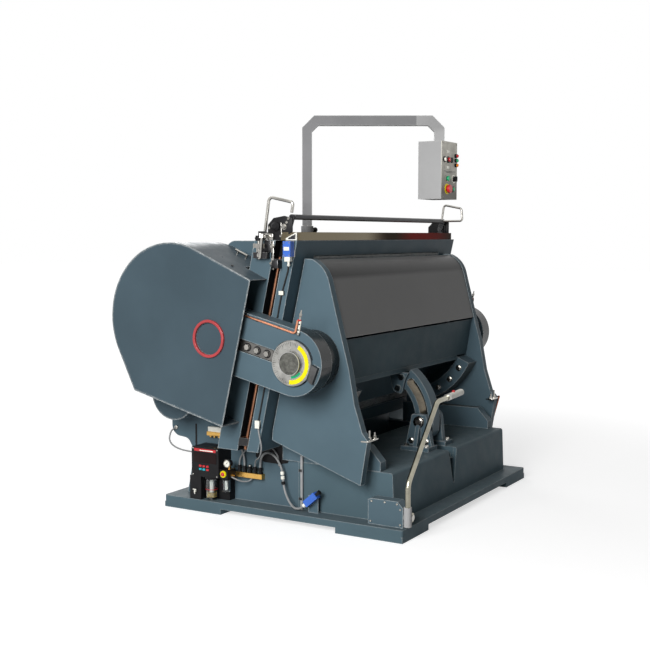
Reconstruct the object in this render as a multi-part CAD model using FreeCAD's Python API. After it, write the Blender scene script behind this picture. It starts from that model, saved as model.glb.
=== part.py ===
import FreeCAD, Part
import math
import os

# Platen die-cutting and creasing press, millimetres.
# X runs to the operator's right, Y away from the operator, Z up from the floor.

# Overall places that the rest is worked out from
DEPTH_SHIFT = -54.5
LEAN = 0.2217
PARTING_AT_1000 = -95.0

# Base
FLANGE_HALF_X = 845.0
FLANGE_HALF_Y = 737.0
FLANGE_TOP = 66.0
FOOT_HEIGHT = 30.0
FOOT_SIZE_X = 300.0
FOOT_SIZE_Y = 380.0
PEDESTAL_HALF_X = 742.0
PEDESTAL_FRONT = -630.0
PEDESTAL_BACK = -75.0
PEDESTAL_TOP = 318.0
PEDESTAL_WALL = 40.0

# Side walls and bed
WALL_OUTER = 725.0
WALL_INNER = 665.0
BED_HALF_X = 950.0
BED_BOTTOM = 390.0
BED_TOP = 1478.0
BED_DEPTH = 255.0
STRIP_TOP = 1519.0
STRIP_FRONT = -197.0
CHASE_HALF_X = 760.0
CHASE_BOTTOM = 470.0
CHASE_TOP = 1400.0
CHASE_DEPTH = 40.0
ROD_SLOT_NEAR = 69.0
ROD_SLOT_FAR = 127.0
ROD_SLOT_DEPTH = 55.0

# Platen, its rocking pole and its trunnions
POLE = (-163.0, 463.0)
OPEN_ANGLE = 40.0
PLATE_OUTER = 860.0
PLATE_INNER = 815.0
PLATEN_TOP = 1380.0
COVER_ARC_CENTRE = (-174.5, 1233.6)
COVER_ARC_RADIUS = 160.6
COVER_TOP_ANGLE = 110.6
COVER_LINE_ANGLE = 165.4
COVER_BOTTOM = (-403.0, 993.0)
ROCKER_CENTRE = (0.0, 912.0)
ROCKER_RADIUS = 467.5
ROCKER_INNER = 380.0
ROCKER_NEAR_X = 690.0
RAIL_TOP = 443.5
RAIL_NEAR_X = 680.0
RAIL_FAR_X = 740.0
TRUNNION = (-242.0, 882.0)
DRUM_RADIUS = 150.0
PIN_RADIUS = 80.0

# Draw bars and crank
BAR_ANGLE = 13.5
BAR_INNER = 960.0
BAR_OUTER = 1060.0
BAR_HALF_WIDTH = 165.0
GEAR_DISTANCE = 740.0
CRANK = 141.2
CRANK_PIN_RADIUS = 60.0
REAR_EYE = 130.0
DIAL_RADIUS = 113.0

# Gear train
MODULE = 8.0
BULL_TEETH = 90
PINION_TEETH = 18
PRESSURE_ANGLE = 20.0
BACKLASH = 1.2
GEAR_ROOM = 382.0
GEAR_NEAR = 770.0
GEAR_FAR = 900.0
MAIN_SHAFT_RADIUS = 70.0
DRIVE_SHAFT_RADIUS = 40.0
PINION_BEARING_ANGLE = -70.0
RUNNING_GAP = 0.05

# Gear covers
COVER_FACE = 1100.0
COVER_SHEET = 4.0
COVER_CENTRE = (480.0, 1072.0)
COVER_RADIUS = 395.0
COVER_FRONT_TOP = (-21.0, 1283.0)
COVER_FRONT_LOW = (155.0, 536.0)
COVER_REAR_LOW = (728.0, 683.0)
RING_CENTRE = (233.0, 982.0)
RING_OUTER = 97.0
RING_INNER = 82.0
HOUSING_RADIUS = 145.0
HOUSING_FACE = 905.0

# Guide arm and its roller
ARM_LEFT = -50.0
ARM_RIGHT = 35.0
GUIDE_RADIUS = 312.0
GUIDE_ROLLER_ANGLE = 178.2
SLOT_HALF = 24.5
ROLLER_RADIUS = 24.0
ROLLER_PIN_RADIUS = 14.0

# Control arm
POST = (-650.0, -75.0)
ARM_PLAN_ANGLE = -59.3
ARM_REACH = 686.0
ARM_TOP = 2120.0
ARM_TUBE = 50.0
POST_FOOT = 1560.0
SOCKET_RADIUS = 62.0
BOX_WIDTH = 190.0
BOX_FRONT = 60.0
BOX_BACK = 76.0
PANEL_SHEET = 4.0
BOX_BOTTOM = 1690.0
BOX_TOP = 1985.0

# Safety bar and bed-top furniture
SAFETY_BAR = (-146.0, 1594.0)
SAFETY_PIVOT = (-120.0, 1545.0)
SAFETY_HALF_X = 895.0
HANDLE_X = -905.0
HANDLE_PIVOT = (22.0, 1506.0)
CLAMP_ROD = (968.0, 15.0)

# Hand lever
LEVER_Y = -746.0
LEVER_PIVOT = (-805.0, 120.0)
LEVER_TUBE_RADIUS = 13.5
GRIP_START = (-345.0, 659.0)
GRIP_END = (-165.0, 666.0)

# Drive
FLYWHEEL_RADIUS = 200.0
PULLEY_RADIUS = 60.0
PULLEY_NEAR = 590.0
PULLEY_FAR = 640.0
MOTOR = (330.0, 235.0)
BELT_THICKNESS = 10.0


def parting(z):
    """Y of the plane where bed and platen meet, at height z."""
    return PARTING_AT_1000 - LEAN * (z - 1000.0)


def polar(centre, radius, degrees):
    """Point at an angle about a centre, in the Y-Z plane."""
    a = math.radians(degrees)
    return (centre[0] + radius * math.cos(a), centre[1] + radius * math.sin(a))


GEAR = polar(TRUNNION, GEAR_DISTANCE, BAR_ANGLE)
CENTRE_DISTANCE = MODULE * (BULL_TEETH + PINION_TEETH) / 2.0
DRIVE = polar(GEAR, CENTRE_DISTANCE, PINION_BEARING_ANGLE)
ROLLER = polar(POLE, GUIDE_RADIUS, GUIDE_ROLLER_ANGLE)
BOX_CENTRE = (
    POST[0] + ARM_REACH * math.cos(math.radians(ARM_PLAN_ANGLE)),
    POST[1] + ARM_REACH * math.sin(math.radians(ARM_PLAN_ANGLE)),
)
PANEL_Y = BOX_CENTRE[1] - BOX_FRONT


# Shape helpers

def vec(x, y, z):
    return FreeCAD.Vector(x, y, z)


def block(x0, x1, y0, y1, z0, z1):
    return Part.makeBox(x1 - x0, y1 - y0, z1 - z0, vec(x0, y0, z0))


def rod(start, end, radius):
    a = vec(*start)
    axis = vec(*end).sub(a)
    return Part.makeCylinder(radius, axis.Length, a, axis)


def disc(centre, radius, x0, x1):
    """Cylinder along X about a Y-Z centre."""
    return rod((x0, centre[0], centre[1]), (x1, centre[0], centre[1]), radius)


def ring(centre, outer, inner, x0, x1):
    return disc(centre, outer, x0, x1).cut(disc(centre, inner, x0 - 1.0, x1 + 1.0))


def corner_edges(points, radii):
    """Edges of a closed outline with a tangent arc at every corner whose radius isn't zero."""
    count = len(points)
    starts, ends, mids = [], [], []
    for i, corner in enumerate(points):
        radius = radii.get(i, 0.0)
        if radius == 0.0:
            starts.append(corner)
            ends.append(corner)
            mids.append(None)
            continue
        back = points[i - 1].sub(corner).normalize()
        ahead = points[(i + 1) % count].sub(corner).normalize()
        half = back.getAngle(ahead) / 2.0
        reach = radius / math.tan(half)
        bisector = back.add(ahead).normalize()
        centre = corner.add(bisector * (radius / math.sin(half)))
        starts.append(corner.add(back * reach))
        ends.append(corner.add(ahead * reach))
        mids.append(centre.sub(bisector * radius))
    edges = []
    for i in range(count):
        if mids[i] is not None:
            edges.append(Part.Arc(starts[i], mids[i], ends[i]).toShape())
        following = starts[(i + 1) % count]
        if ends[i].sub(following).Length > 1e-6:
            edges.append(Part.LineSegment(ends[i], following).toShape())
    return edges


def outline_x(points, x0, x1, radii=None):
    """Y-Z outline carried along X."""
    corners = [vec(x0, y, z) for y, z in points]
    face = Part.Face(Part.Wire(corner_edges(corners, radii or {})))
    return face.extrude(vec(x1 - x0, 0, 0))


def outline_y(points, y0, y1, radii=None):
    """X-Z outline carried along Y."""
    corners = [vec(x, y0, z) for x, z in points]
    face = Part.Face(Part.Wire(corner_edges(corners, radii or {})))
    return face.extrude(vec(0, y1 - y0, 0))


def outline_z(points, z0, z1, radii=None):
    """X-Y outline carried along Z."""
    corners = [vec(x, y, z0) for x, y in points]
    face = Part.Face(Part.Wire(corner_edges(corners, radii or {})))
    return face.extrude(vec(0, 0, z1 - z0))


def slab(near, far, z0, z1, half_x):
    """Plate that leans with the bed, given by its Y offsets from the parting plane."""
    outline = [
        (parting(z0) + near, z0),
        (parting(z1) + near, z1),
        (parting(z1) + far, z1),
        (parting(z0) + far, z0),
    ]
    return outline_x(outline, -half_x, half_x)


def mirrored(shape):
    return shape.mirror(vec(0, 0, 0), vec(1, 0, 0))


def pair(shape):
    """The piece and its mirror image on the other side of the machine."""
    return Part.Compound([shape, mirrored(shape)])


def hexagon(centre, across, x0, x1):
    corners = [polar(centre, across / math.sqrt(3.0), 60.0 * i) for i in range(6)]
    return outline_x(corners, x0, x1)


def bent_tube(points, radius, bend):
    """Round bar along straight runs joined by arcs, one bend radius for each inner point."""
    stops = [vec(*p) for p in points]
    edges = []
    cursor = stops[0]
    for i in range(1, len(stops) - 1):
        back = stops[i - 1].sub(stops[i]).normalize()
        ahead = stops[i + 1].sub(stops[i]).normalize()
        half = back.getAngle(ahead) / 2.0
        reach = bend[i - 1] / math.tan(half)
        bisector = back.add(ahead).normalize()
        centre = stops[i].add(bisector * (bend[i - 1] / math.sin(half)))
        begin = stops[i].add(back * reach)
        finish = stops[i].add(ahead * reach)
        edges.append(Part.LineSegment(cursor, begin).toShape())
        edges.append(Part.Arc(begin, centre.sub(bisector * bend[i - 1]), finish).toShape())
        cursor = finish
    edges.append(Part.LineSegment(cursor, stops[-1]).toShape())
    path = Part.Wire(edges)
    section = Part.Wire(Part.makeCircle(radius, stops[0], stops[1].sub(stops[0])))
    return path.makePipeShell([section], True, False), path.Length


def hose(name, points, diameter):
    """Hanging hose whose every arc is as large as its two runs allow."""
    stops = [vec(*p) for p in points]
    radii = []
    for i in range(1, len(stops) - 1):
        back = stops[i - 1].sub(stops[i])
        ahead = stops[i + 1].sub(stops[i])
        half_turn = (math.pi - back.getAngle(ahead)) / 2.0
        radii.append(0.45 * min(back.Length, ahead.Length) / math.tan(half_turn))
    tube, length = bent_tube(points, diameter / 2.0, radii)
    expected = math.pi * diameter ** 2 / 4.0 * length
    print(name, "bend radii", [round(r) for r in radii], "volume ratio", round(tube.Volume / expected, 4))
    return tube


# Base and frame

def base():
    plate = outline_z(
        [
            (-FLANGE_HALF_X, -FLANGE_HALF_Y),
            (FLANGE_HALF_X, -FLANGE_HALF_Y),
            (FLANGE_HALF_X, FLANGE_HALF_Y),
            (-FLANGE_HALF_X, FLANGE_HALF_Y),
        ],
        FOOT_HEIGHT,
        FLANGE_TOP,
        {i: 12.0 for i in range(4)},
    )
    body = plate
    for sx in (-1, 1):
        for sy in (-1, 1):
            x = sorted((sx * FLANGE_HALF_X, sx * (FLANGE_HALF_X - FOOT_SIZE_X)))
            y = sorted((sy * FLANGE_HALF_Y, sy * (FLANGE_HALF_Y - FOOT_SIZE_Y)))
            body = body.fuse(block(x[0], x[1], y[0], y[1], 0.0, FOOT_HEIGHT))
    draft = 10.0
    pedestal = outline_x(
        [
            (PEDESTAL_FRONT - draft, FLANGE_TOP),
            (PEDESTAL_BACK, FLANGE_TOP),
            (PEDESTAL_BACK, PEDESTAL_TOP),
            (PEDESTAL_FRONT, PEDESTAL_TOP),
        ],
        -PEDESTAL_HALF_X,
        PEDESTAL_HALF_X,
        {3: 14.0},
    )
    hollow = block(
        -PEDESTAL_HALF_X + PEDESTAL_WALL,
        PEDESTAL_HALF_X - PEDESTAL_WALL,
        PEDESTAL_FRONT + PEDESTAL_WALL,
        PEDESTAL_BACK - PEDESTAL_WALL,
        FLANGE_TOP,
        PEDESTAL_TOP - PEDESTAL_WALL,
    )
    notch = outline_y(
        [(-62.0, PEDESTAL_TOP + 1.0), (47.0, PEDESTAL_TOP + 1.0), (0.0, 130.0), (-15.0, 130.0)],
        PEDESTAL_FRONT - 2.0 * draft,
        PEDESTAL_FRONT + PEDESTAL_WALL + 1.0,
    )
    arm_slot = block(-62.0, 47.0, PEDESTAL_FRONT + 20.0, -320.0, PEDESTAL_TOP - 60.0, PEDESTAL_TOP + 1.0)
    return body.fuse(pedestal).removeSplitter().cut(Part.Compound([hollow, notch, arm_slot]))


def frame_walls():
    back_low = parting(BED_BOTTOM) + BED_DEPTH
    top = BED_TOP - 3.0
    back_top = parting(top) + BED_DEPTH
    ledge = 150.0
    outline = [
        (PEDESTAL_BACK, FLANGE_TOP),
        (669.0, FLANGE_TOP),
        (622.0, 300.0),
        (660.0, 372.0),
        (776.0, 384.0),
        (776.0, 700.0),
        (690.0, 1180.0),
        (355.0, top),
        (back_top, top),
        (back_low, BED_BOTTOM),
        (ledge, BED_BOTTOM),
        (ledge, PEDESTAL_TOP),
        (PEDESTAL_BACK, PEDESTAL_TOP),
    ]
    rounds = {2: 60.0, 3: 50.0, 4: 60.0, 5: 90.0, 6: 260.0, 7: 60.0, 11: 30.0}
    wall = outline_x(outline, -WALL_OUTER, -WALL_INNER, rounds)
    wall = wall.cut(disc(GEAR, 100.0, -WALL_OUTER - 1.0, -WALL_INNER + 1.0))
    wall = wall.cut(disc(DRIVE, 62.0, -WALL_OUTER - 1.0, -WALL_INNER + 1.0))
    return pair(wall)


def shaft_bearings():
    solids = []
    for centre, bore, outer in ((GEAR, MAIN_SHAFT_RADIUS, 100.0), (DRIVE, DRIVE_SHAFT_RADIUS, 62.0)):
        bush = disc(centre, outer, -WALL_OUTER, -WALL_INNER)
        collar = disc(centre, outer + 30.0, -WALL_INNER, -WALL_INNER + 25.0)
        hole = disc(centre, bore + RUNNING_GAP, -WALL_OUTER - 1.0, -WALL_INNER + 30.0)
        bush = bush.fuse(collar).cut(hole)
        solids += [bush, mirrored(bush)]
    return Part.Compound(solids)


def bed():
    body = slab(0.0, BED_DEPTH, BED_BOTTOM, BED_TOP, BED_HALF_X)
    cuts = [slab(-20.0, CHASE_DEPTH, CHASE_BOTTOM, CHASE_TOP, CHASE_HALF_X)]
    rod_slot = outline_x(
        [
            (parting(BED_BOTTOM - 5.0) + ROD_SLOT_NEAR, BED_BOTTOM - 5.0),
            (parting(BED_TOP + 5.0) + ROD_SLOT_NEAR, BED_TOP + 5.0),
            (parting(BED_TOP + 5.0) + ROD_SLOT_FAR, BED_TOP + 5.0),
            (parting(BED_BOTTOM - 5.0) + ROD_SLOT_FAR, BED_BOTTOM - 5.0),
        ],
        -BED_HALF_X - 1.0,
        -BED_HALF_X + ROD_SLOT_DEPTH,
    )
    cuts += [rod_slot, mirrored(rod_slot)]
    pocket_floor = CHASE_DEPTH + 70.0
    for x0, x1 in ((-645.0, -345.0), (-315.0, -15.0), (15.0, 315.0), (345.0, 645.0)):
        for z0, z1 in ((BED_BOTTOM + 60.0, 900.0), (950.0, BED_TOP - 60.0)):
            pocket = [
                (parting(z0) + pocket_floor, z0),
                (parting(z1) + pocket_floor, z1),
                (parting(z1) + BED_DEPTH + 20.0, z1),
                (parting(z0) + BED_DEPTH + 20.0, z0),
            ]
            cuts.append(outline_x(pocket, x0, x1))
    for sx in (-1, 1):
        x0, x1 = sorted((sx * (WALL_OUTER + 10.0), sx * (BED_HALF_X + 1.0)))
        cuts.append(disc(GEAR, GEAR_ROOM, x0, x1))
    return body.cut(Part.Compound(cuts))


def bed_top_strip():
    end = 35.0
    back = STRIP_FRONT + 92.0
    half = BED_HALF_X
    outline = [
        (-half, STRIP_FRONT + 57.0),
        (-half + end, STRIP_FRONT),
        (half - end, STRIP_FRONT),
        (half, STRIP_FRONT + 57.0),
        (half, back),
        (-half, back),
    ]
    post_room = rod((POST[0], POST[1], BED_TOP - 1.0), (POST[0], POST[1], STRIP_TOP + 1.0), SOCKET_RADIUS + 4.0)
    return outline_z(outline, BED_TOP, STRIP_TOP).cut(post_room)


def die_chase():
    play = 5.0
    border = 55.0
    frame = slab(2.0, CHASE_DEPTH, CHASE_BOTTOM + play, CHASE_TOP - play, CHASE_HALF_X - play)
    opening = slab(
        -10.0,
        CHASE_DEPTH + 10.0,
        CHASE_BOTTOM + play + border,
        CHASE_TOP - play - border,
        CHASE_HALF_X - play - border,
    )
    return frame.cut(opening)


def tie_beams():
    top = block(-WALL_INNER, WALL_INNER, 190.0, 330.0, 1395.0, 1465.0)
    rear = block(-WALL_INNER, WALL_INNER, 520.0, 600.0, 110.0, 260.0)
    web = block(-WALL_INNER, WALL_INNER, 118.0, 148.0, FLANGE_TOP, BED_BOTTOM)
    return Part.Compound([top, rear, web])


def rocker_rails():
    front = -560.0
    back = parting(RAIL_TOP) - 4.0
    rail = outline_x(
        [
            (front, PEDESTAL_TOP),
            (back, PEDESTAL_TOP),
            (back, RAIL_TOP),
            (front + 72.0, RAIL_TOP),
            (front, RAIL_TOP - 78.0),
        ],
        -RAIL_FAR_X,
        -RAIL_NEAR_X,
    )
    return pair(rail)


def roller_bracket():
    foot_top = PEDESTAL_TOP + 24.0
    foot = block(-176.0, 145.0, ROLLER[0] - 85.0, ROLLER[0] + 85.0, PEDESTAL_TOP, foot_top)
    foot = foot.cut(block(-62.0, 47.0, ROLLER[0] - 86.0, ROLLER[0] + 86.0, PEDESTAL_TOP - 1.0, foot_top + 1.0))
    y, z = ROLLER
    left = outline_x(
        [(y - 80.0, foot_top), (y + 80.0, foot_top), (y + 42.0, z + 42.0), (y - 42.0, z + 42.0)],
        -124.0,
        -90.0,
        {2: 14.0, 3: 14.0},
    )
    gusset = outline_y(
        [(-174.0, foot_top), (-124.0, foot_top), (-124.0, z + 20.0)],
        y - 12.0,
        y + 12.0,
    )
    right = outline_x(
        [(y - 62.0, foot_top), (y + 62.0, foot_top), (y + 44.0, z + 44.0), (y - 44.0, z + 44.0)],
        61.0,
        95.0,
        {2: 42.0, 3: 42.0},
    )
    pin = disc(ROLLER, ROLLER_PIN_RADIUS, -138.0, 114.0)
    nut = hexagon(ROLLER, 40.0, 95.0, 110.0)
    return foot.fuse([left, gusset, right, pin, nut]).removeSplitter()


def guide_roller():
    return ring(ROLLER, ROLLER_RADIUS, ROLLER_PIN_RADIUS + RUNNING_GAP, ARM_LEFT + 2.0, ARM_RIGHT - 2.0)


# Gear covers

def tangent_point(start, centre, radius, side):
    """Where a line from start touches a circle, on the side given by 1 or -1."""
    dy = start[0] - centre[0]
    dz = start[1] - centre[1]
    swing = math.degrees(math.acos(radius / math.hypot(dy, dz)))
    return polar(centre, radius, math.degrees(math.atan2(dz, dy)) + side * swing)


def cover_face(inset, x):
    """Outline of the gear cover, drawn in by a sheet's thickness where asked."""
    radius = COVER_RADIUS - inset
    front_top = (COVER_FRONT_TOP[0] - inset, COVER_FRONT_TOP[1] - 1.1 * inset)
    front_low = (COVER_FRONT_LOW[0] - inset, COVER_FRONT_LOW[1] + 1.1 * inset)
    rear_low = (COVER_REAR_LOW[0] - 0.8 * inset, COVER_REAR_LOW[1] + 1.3 * inset)
    top = tangent_point(front_top, COVER_CENTRE, radius, -1)
    rear = tangent_point(rear_low, COVER_CENTRE, radius, 1)
    crown = polar(COVER_CENTRE, radius, 45.0)

    def at(point):
        return vec(x, point[0], point[1])

    edges = [
        Part.LineSegment(at(front_top), at(top)).toShape(),
        Part.Arc(at(top), at(crown), at(rear)).toShape(),
        Part.LineSegment(at(rear), at(rear_low)).toShape(),
        Part.LineSegment(at(rear_low), at(front_low)).toShape(),
        Part.LineSegment(at(front_low), at(front_top)).toShape(),
    ]
    return Part.Face(Part.Wire(edges))


def below_cover():
    """Space under the gear cover near the pinion, up to the middle of the cover's bottom sheet."""
    lap = 0.7 * COVER_SHEET
    floor = 300.0
    rear = COVER_REAR_LOW[0] + 170.0
    outline = [
        (COVER_FRONT_LOW[0], COVER_FRONT_LOW[1] + lap),
        (COVER_FRONT_LOW[0], floor),
        (rear, floor),
        (rear, COVER_REAR_LOW[1] + lap),
        (COVER_REAR_LOW[0], COVER_REAR_LOW[1] + lap),
    ]
    return outline_x(outline, -COVER_FACE, -WALL_OUTER)


def gear_covers():
    outer = cover_face(0.0, -COVER_FACE).extrude(vec(COVER_FACE - WALL_OUTER, 0, 0))
    room = cover_face(COVER_SHEET, -COVER_FACE + COVER_SHEET).extrude(vec(COVER_FACE - WALL_OUTER, 0, 0))
    open_front = outline_x(
        [COVER_FRONT_TOP, COVER_FRONT_LOW, (parting(COVER_FRONT_LOW[1]) + BED_DEPTH + 2.0, COVER_FRONT_LOW[1] - 5.0),
         (parting(COVER_FRONT_TOP[1]) + BED_DEPTH + 2.0, 1420.0), (COVER_FRONT_TOP[0] - 30.0, 1420.0)],
        -BED_HALF_X - 2.0,
        -WALL_OUTER + 1.0,
    )
    shell = outer.cut(room).cut(open_front)
    shell = shell.cut(disc(RING_CENTRE, RING_INNER, -COVER_FACE - 1.0, -COVER_FACE + 10.0))
    shell = shell.cut(disc(DRIVE, HOUSING_RADIUS - 5.0, -HOUSING_FACE, -WALL_OUTER + 1.0))
    drum = disc(DRIVE, HOUSING_RADIUS, -HOUSING_FACE, -WALL_OUTER)
    drum = drum.cut(disc(DRIVE, HOUSING_RADIUS - 5.0, -HOUSING_FACE + 5.0, -WALL_OUTER + 1.0))
    cover = shell.fuse(drum.common(below_cover())).removeSplitter()
    return pair(cover)


def inspection_rings():
    hoop = ring(RING_CENTRE, RING_OUTER, RING_INNER, -COVER_FACE - 12.0, -COVER_FACE)
    rim = [edge for edge in hoop.Edges if abs(edge.BoundBox.XMin + COVER_FACE + 12.0) < 0.01]
    return pair(hoop.makeFillet(4.0, [edge for edge in rim if edge.BoundBox.XLength < 0.01]))


# Gears, shafts and drive

def involute(angle):
    return math.tan(angle) - angle


def gear_outline(centre, teeth, first_tooth, x):
    """Closed outline of a spur gear whose flanks are short straight facets of an involute."""
    pitch = MODULE * teeth / 2.0
    base_radius = pitch * math.cos(math.radians(PRESSURE_ANGLE))
    root = pitch - 1.25 * MODULE
    levels = (max(base_radius, root + 1.0), pitch - 0.35 * MODULE, pitch + 0.3 * MODULE, pitch + 0.95 * MODULE)
    half_pitch = math.pi / (2.0 * teeth) - BACKLASH / (2.0 * pitch)
    flank = []
    for radius in levels:
        pressure = math.acos(min(1.0, base_radius / radius))
        half = half_pitch + involute(math.radians(PRESSURE_ANGLE)) - involute(pressure)
        flank.append((radius, math.degrees(half)))
    flank.insert(0, (root, flank[0][1]))
    points = []
    for tooth in range(teeth):
        middle = first_tooth + 360.0 * tooth / teeth
        for radius, half in flank:
            points.append(polar(centre, radius, middle - half))
        for radius, half in reversed(flank):
            points.append(polar(centre, radius, middle + half))
    corners = [vec(x, y, z) for y, z in points]
    return Part.Face(Part.makePolygon(corners + corners[:1]))


def bull_gears():
    wheel = gear_outline(GEAR, BULL_TEETH, PINION_BEARING_ANGLE, -GEAR_FAR).extrude(vec(GEAR_FAR - GEAR_NEAR, 0, 0))
    wheel = wheel.cut(disc(GEAR, MAIN_SHAFT_RADIUS, -GEAR_FAR - 1.0, -GEAR_NEAR + 1.0))
    recess = ring(GEAR, 300.0, 115.0, -GEAR_NEAR - 75.0, -GEAR_NEAR + 1.0)
    pin = disc(polar(GEAR, CRANK, BAR_ANGLE), CRANK_PIN_RADIUS, -BAR_INNER + 3.0, -GEAR_FAR)
    return pair(wheel.cut(recess).fuse(pin))


def main_shaft():
    return disc(GEAR, MAIN_SHAFT_RADIUS, -GEAR_FAR, GEAR_FAR)


def drive_shaft():
    shaft = disc(DRIVE, DRIVE_SHAFT_RADIUS, -GEAR_FAR + 6.0, GEAR_FAR - 6.0)
    opposite = PINION_BEARING_ANGLE + 180.0
    half_step = 180.0 / PINION_TEETH
    pinion = gear_outline(DRIVE, PINION_TEETH, opposite + half_step, -GEAR_FAR + 2.0)
    pinion = pinion.extrude(vec(GEAR_FAR - GEAR_NEAR, 0, 0))
    return shaft.fuse([pinion, mirrored(pinion)])


def flywheel():
    rim = ring(DRIVE, FLYWHEEL_RADIUS, FLYWHEEL_RADIUS - 40.0, PULLEY_NEAR - 10.0, PULLEY_FAR)
    web = ring(DRIVE, FLYWHEEL_RADIUS - 40.0, DRIVE_SHAFT_RADIUS, PULLEY_NEAR + 10.0, PULLEY_FAR - 20.0)
    clutch = ring(DRIVE, 105.0, DRIVE_SHAFT_RADIUS, PULLEY_NEAR - 90.0, PULLEY_NEAR + 10.0)
    for i in range(6):
        web = web.cut(disc(polar(DRIVE, 133.0, 60.0 * i), 20.0, PULLEY_NEAR, PULLEY_FAR))
    return rim.fuse([web, clutch]).removeSplitter()


def motor():
    body = disc(MOTOR, 105.0, 250.0, 540.0)
    cowl = disc(MOTOR, 98.0, 190.0, 250.0)
    nose = disc(MOTOR, 60.0, 540.0, 556.0)
    foot = block(280.0, 520.0, MOTOR[0] - 105.0, MOTOR[0] + 105.0, FLANGE_TOP, FLANGE_TOP + 22.0)
    saddle = block(300.0, 500.0, MOTOR[0] - 60.0, MOTOR[0] + 60.0, FLANGE_TOP + 22.0, MOTOR[1])
    terminal = block(330.0, 440.0, MOTOR[0] + 60.0, MOTOR[0] + 145.0, MOTOR[1] - 10.0, MOTOR[1] + 80.0)
    fins = [ring(MOTOR, 118.0, 100.0, 275.0 + 30.0 * i, 283.0 + 30.0 * i) for i in range(8)]
    whole = body.fuse([cowl, nose, foot, saddle, terminal] + fins)
    return whole.cut(disc(MOTOR, 16.0 + RUNNING_GAP, 440.0, 560.0))


def motor_pulley():
    shaft = disc(MOTOR, 16.0, 450.0, PULLEY_FAR)
    wheel = disc(MOTOR, PULLEY_RADIUS, PULLEY_NEAR, PULLEY_FAR)
    return shaft.fuse(wheel)


def belt_loop(growth, x0, x1):
    """Open belt round flywheel and pulley, its surface standing off both by a growth."""
    big = FLYWHEEL_RADIUS + growth
    small = PULLEY_RADIUS + growth
    span = math.hypot(MOTOR[0] - DRIVE[0], MOTOR[1] - DRIVE[1])
    heading = math.degrees(math.atan2(MOTOR[1] - DRIVE[1], MOTOR[0] - DRIVE[0]))
    wrap = math.degrees(math.acos((big - small) / span))
    points = [
        polar(DRIVE, big, heading + wrap),
        polar(MOTOR, small, heading + wrap),
        polar(MOTOR, small, heading - wrap),
        polar(DRIVE, big, heading - wrap),
    ]
    corners = [vec(x0, y, z) for y, z in points]
    far_big = polar(DRIVE, big, heading + 180.0)
    far_small = polar(MOTOR, small, heading)
    edges = [
        Part.LineSegment(corners[0], corners[1]).toShape(),
        Part.Arc(corners[1], vec(x0, *far_small), corners[2]).toShape(),
        Part.LineSegment(corners[2], corners[3]).toShape(),
        Part.Arc(corners[3], vec(x0, *far_big), corners[0]).toShape(),
    ]
    return Part.Face(Part.Wire(edges)).extrude(vec(x1 - x0, 0, 0))


def drive_belt():
    x0 = PULLEY_NEAR + 8.0
    x1 = PULLEY_FAR - 8.0
    return belt_loop(0.6 + BELT_THICKNESS, x0, x1).cut(belt_loop(0.6, x0 - 1.0, x1 + 1.0))


# Platen

def cover_line(inset, drop):
    """Top and bottom points of the cover's straight stretch, drawn in by an inset."""
    start = polar(COVER_ARC_CENTRE, COVER_ARC_RADIUS - inset, COVER_LINE_ANGLE)
    normal = polar((0.0, 0.0), inset, COVER_LINE_ANGLE)
    finish = (COVER_BOTTOM[0] - normal[0], COVER_BOTTOM[1] - normal[1] - drop)
    return start, finish


def cover_edges(inset, x):
    """Curve of the platen's back from its top edge to the cover's lower edge."""
    radius = COVER_ARC_RADIUS - inset
    top = polar(COVER_ARC_CENTRE, radius, COVER_TOP_ANGLE)
    middle = polar(COVER_ARC_CENTRE, radius, (COVER_TOP_ANGLE + COVER_LINE_ANGLE) / 2.0)
    start, finish = cover_line(inset, 0.0)
    arc = Part.Arc(vec(x, *top), vec(x, *middle), vec(x, *start)).toShape()
    line = Part.LineSegment(vec(x, *start), vec(x, *finish)).toShape()
    return [arc, line], top, finish


def platen_side_plates():
    x = -PLATE_OUTER
    edges, top, finish = cover_edges(0.0, x)
    rest = [
        finish,
        (-444.0, 842.0),
        (-477.0, 663.0),
        (-520.0, 530.0),
        (-550.0, 494.0),
        (-512.0, 265.0),
        (12.0, 444.5),
        (7.0, 500.0),
        (parting(1387.0) - 8.0, 1387.0),
        top,
    ]
    for a, b in zip(rest, rest[1:]):
        edges.append(Part.LineSegment(vec(x, *a), vec(x, *b)).toShape())
    plate = Part.Face(Part.Wire(edges)).extrude(vec(PLATE_OUTER - PLATE_INNER, 0, 0))
    return pair(plate)


def platen_cover():
    x = -PLATE_INNER
    outer, outer_top, outer_finish = cover_edges(4.0, x)
    inner, inner_top, inner_finish = cover_edges(10.0, x)
    joins = [
        Part.LineSegment(vec(x, *outer_finish), vec(x, *inner_finish)).toShape(),
        Part.LineSegment(vec(x, *inner_top), vec(x, *outer_top)).toShape(),
    ]
    profile = Part.Wire(Part.__sortEdges__(outer + inner + joins))
    return Part.Face(profile).extrude(vec(2.0 * PLATE_INNER, 0, 0))


def platen_lower_panel():
    thickness = 8.0
    top = (-388.0, 980.0)
    low = (-354.0, 762.0)
    outline = [top, low, (low[0] + thickness, low[1]), (top[0] + thickness, top[1])]
    return outline_x(outline, -PLATE_INNER, PLATE_INNER)


def platen_plate():
    front = -80.0
    face = -14.0
    low = 545.0
    shoulder = PLATEN_TOP - 32.0
    plate = outline_x(
        [
            (parting(low) + front, low),
            (parting(shoulder) + front, shoulder),
            (parting(PLATEN_TOP) + face - 8.0, PLATEN_TOP),
            (parting(PLATEN_TOP) + face, PLATEN_TOP),
            (parting(low) + face, low),
        ],
        -PLATE_INNER,
        PLATE_INNER,
    )
    rib = [
        (parting(850.0) + front, 850.0),
        (parting(1250.0) + front, 1250.0),
        (-300.0, 1250.0),
        (-345.0, 1000.0),
        (-335.0, 850.0),
    ]
    ribs = [outline_x(rib, x - 15.0, x + 15.0) for x in (-560.0, -190.0, 190.0, 560.0)]
    return plate.fuse(ribs)


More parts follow.
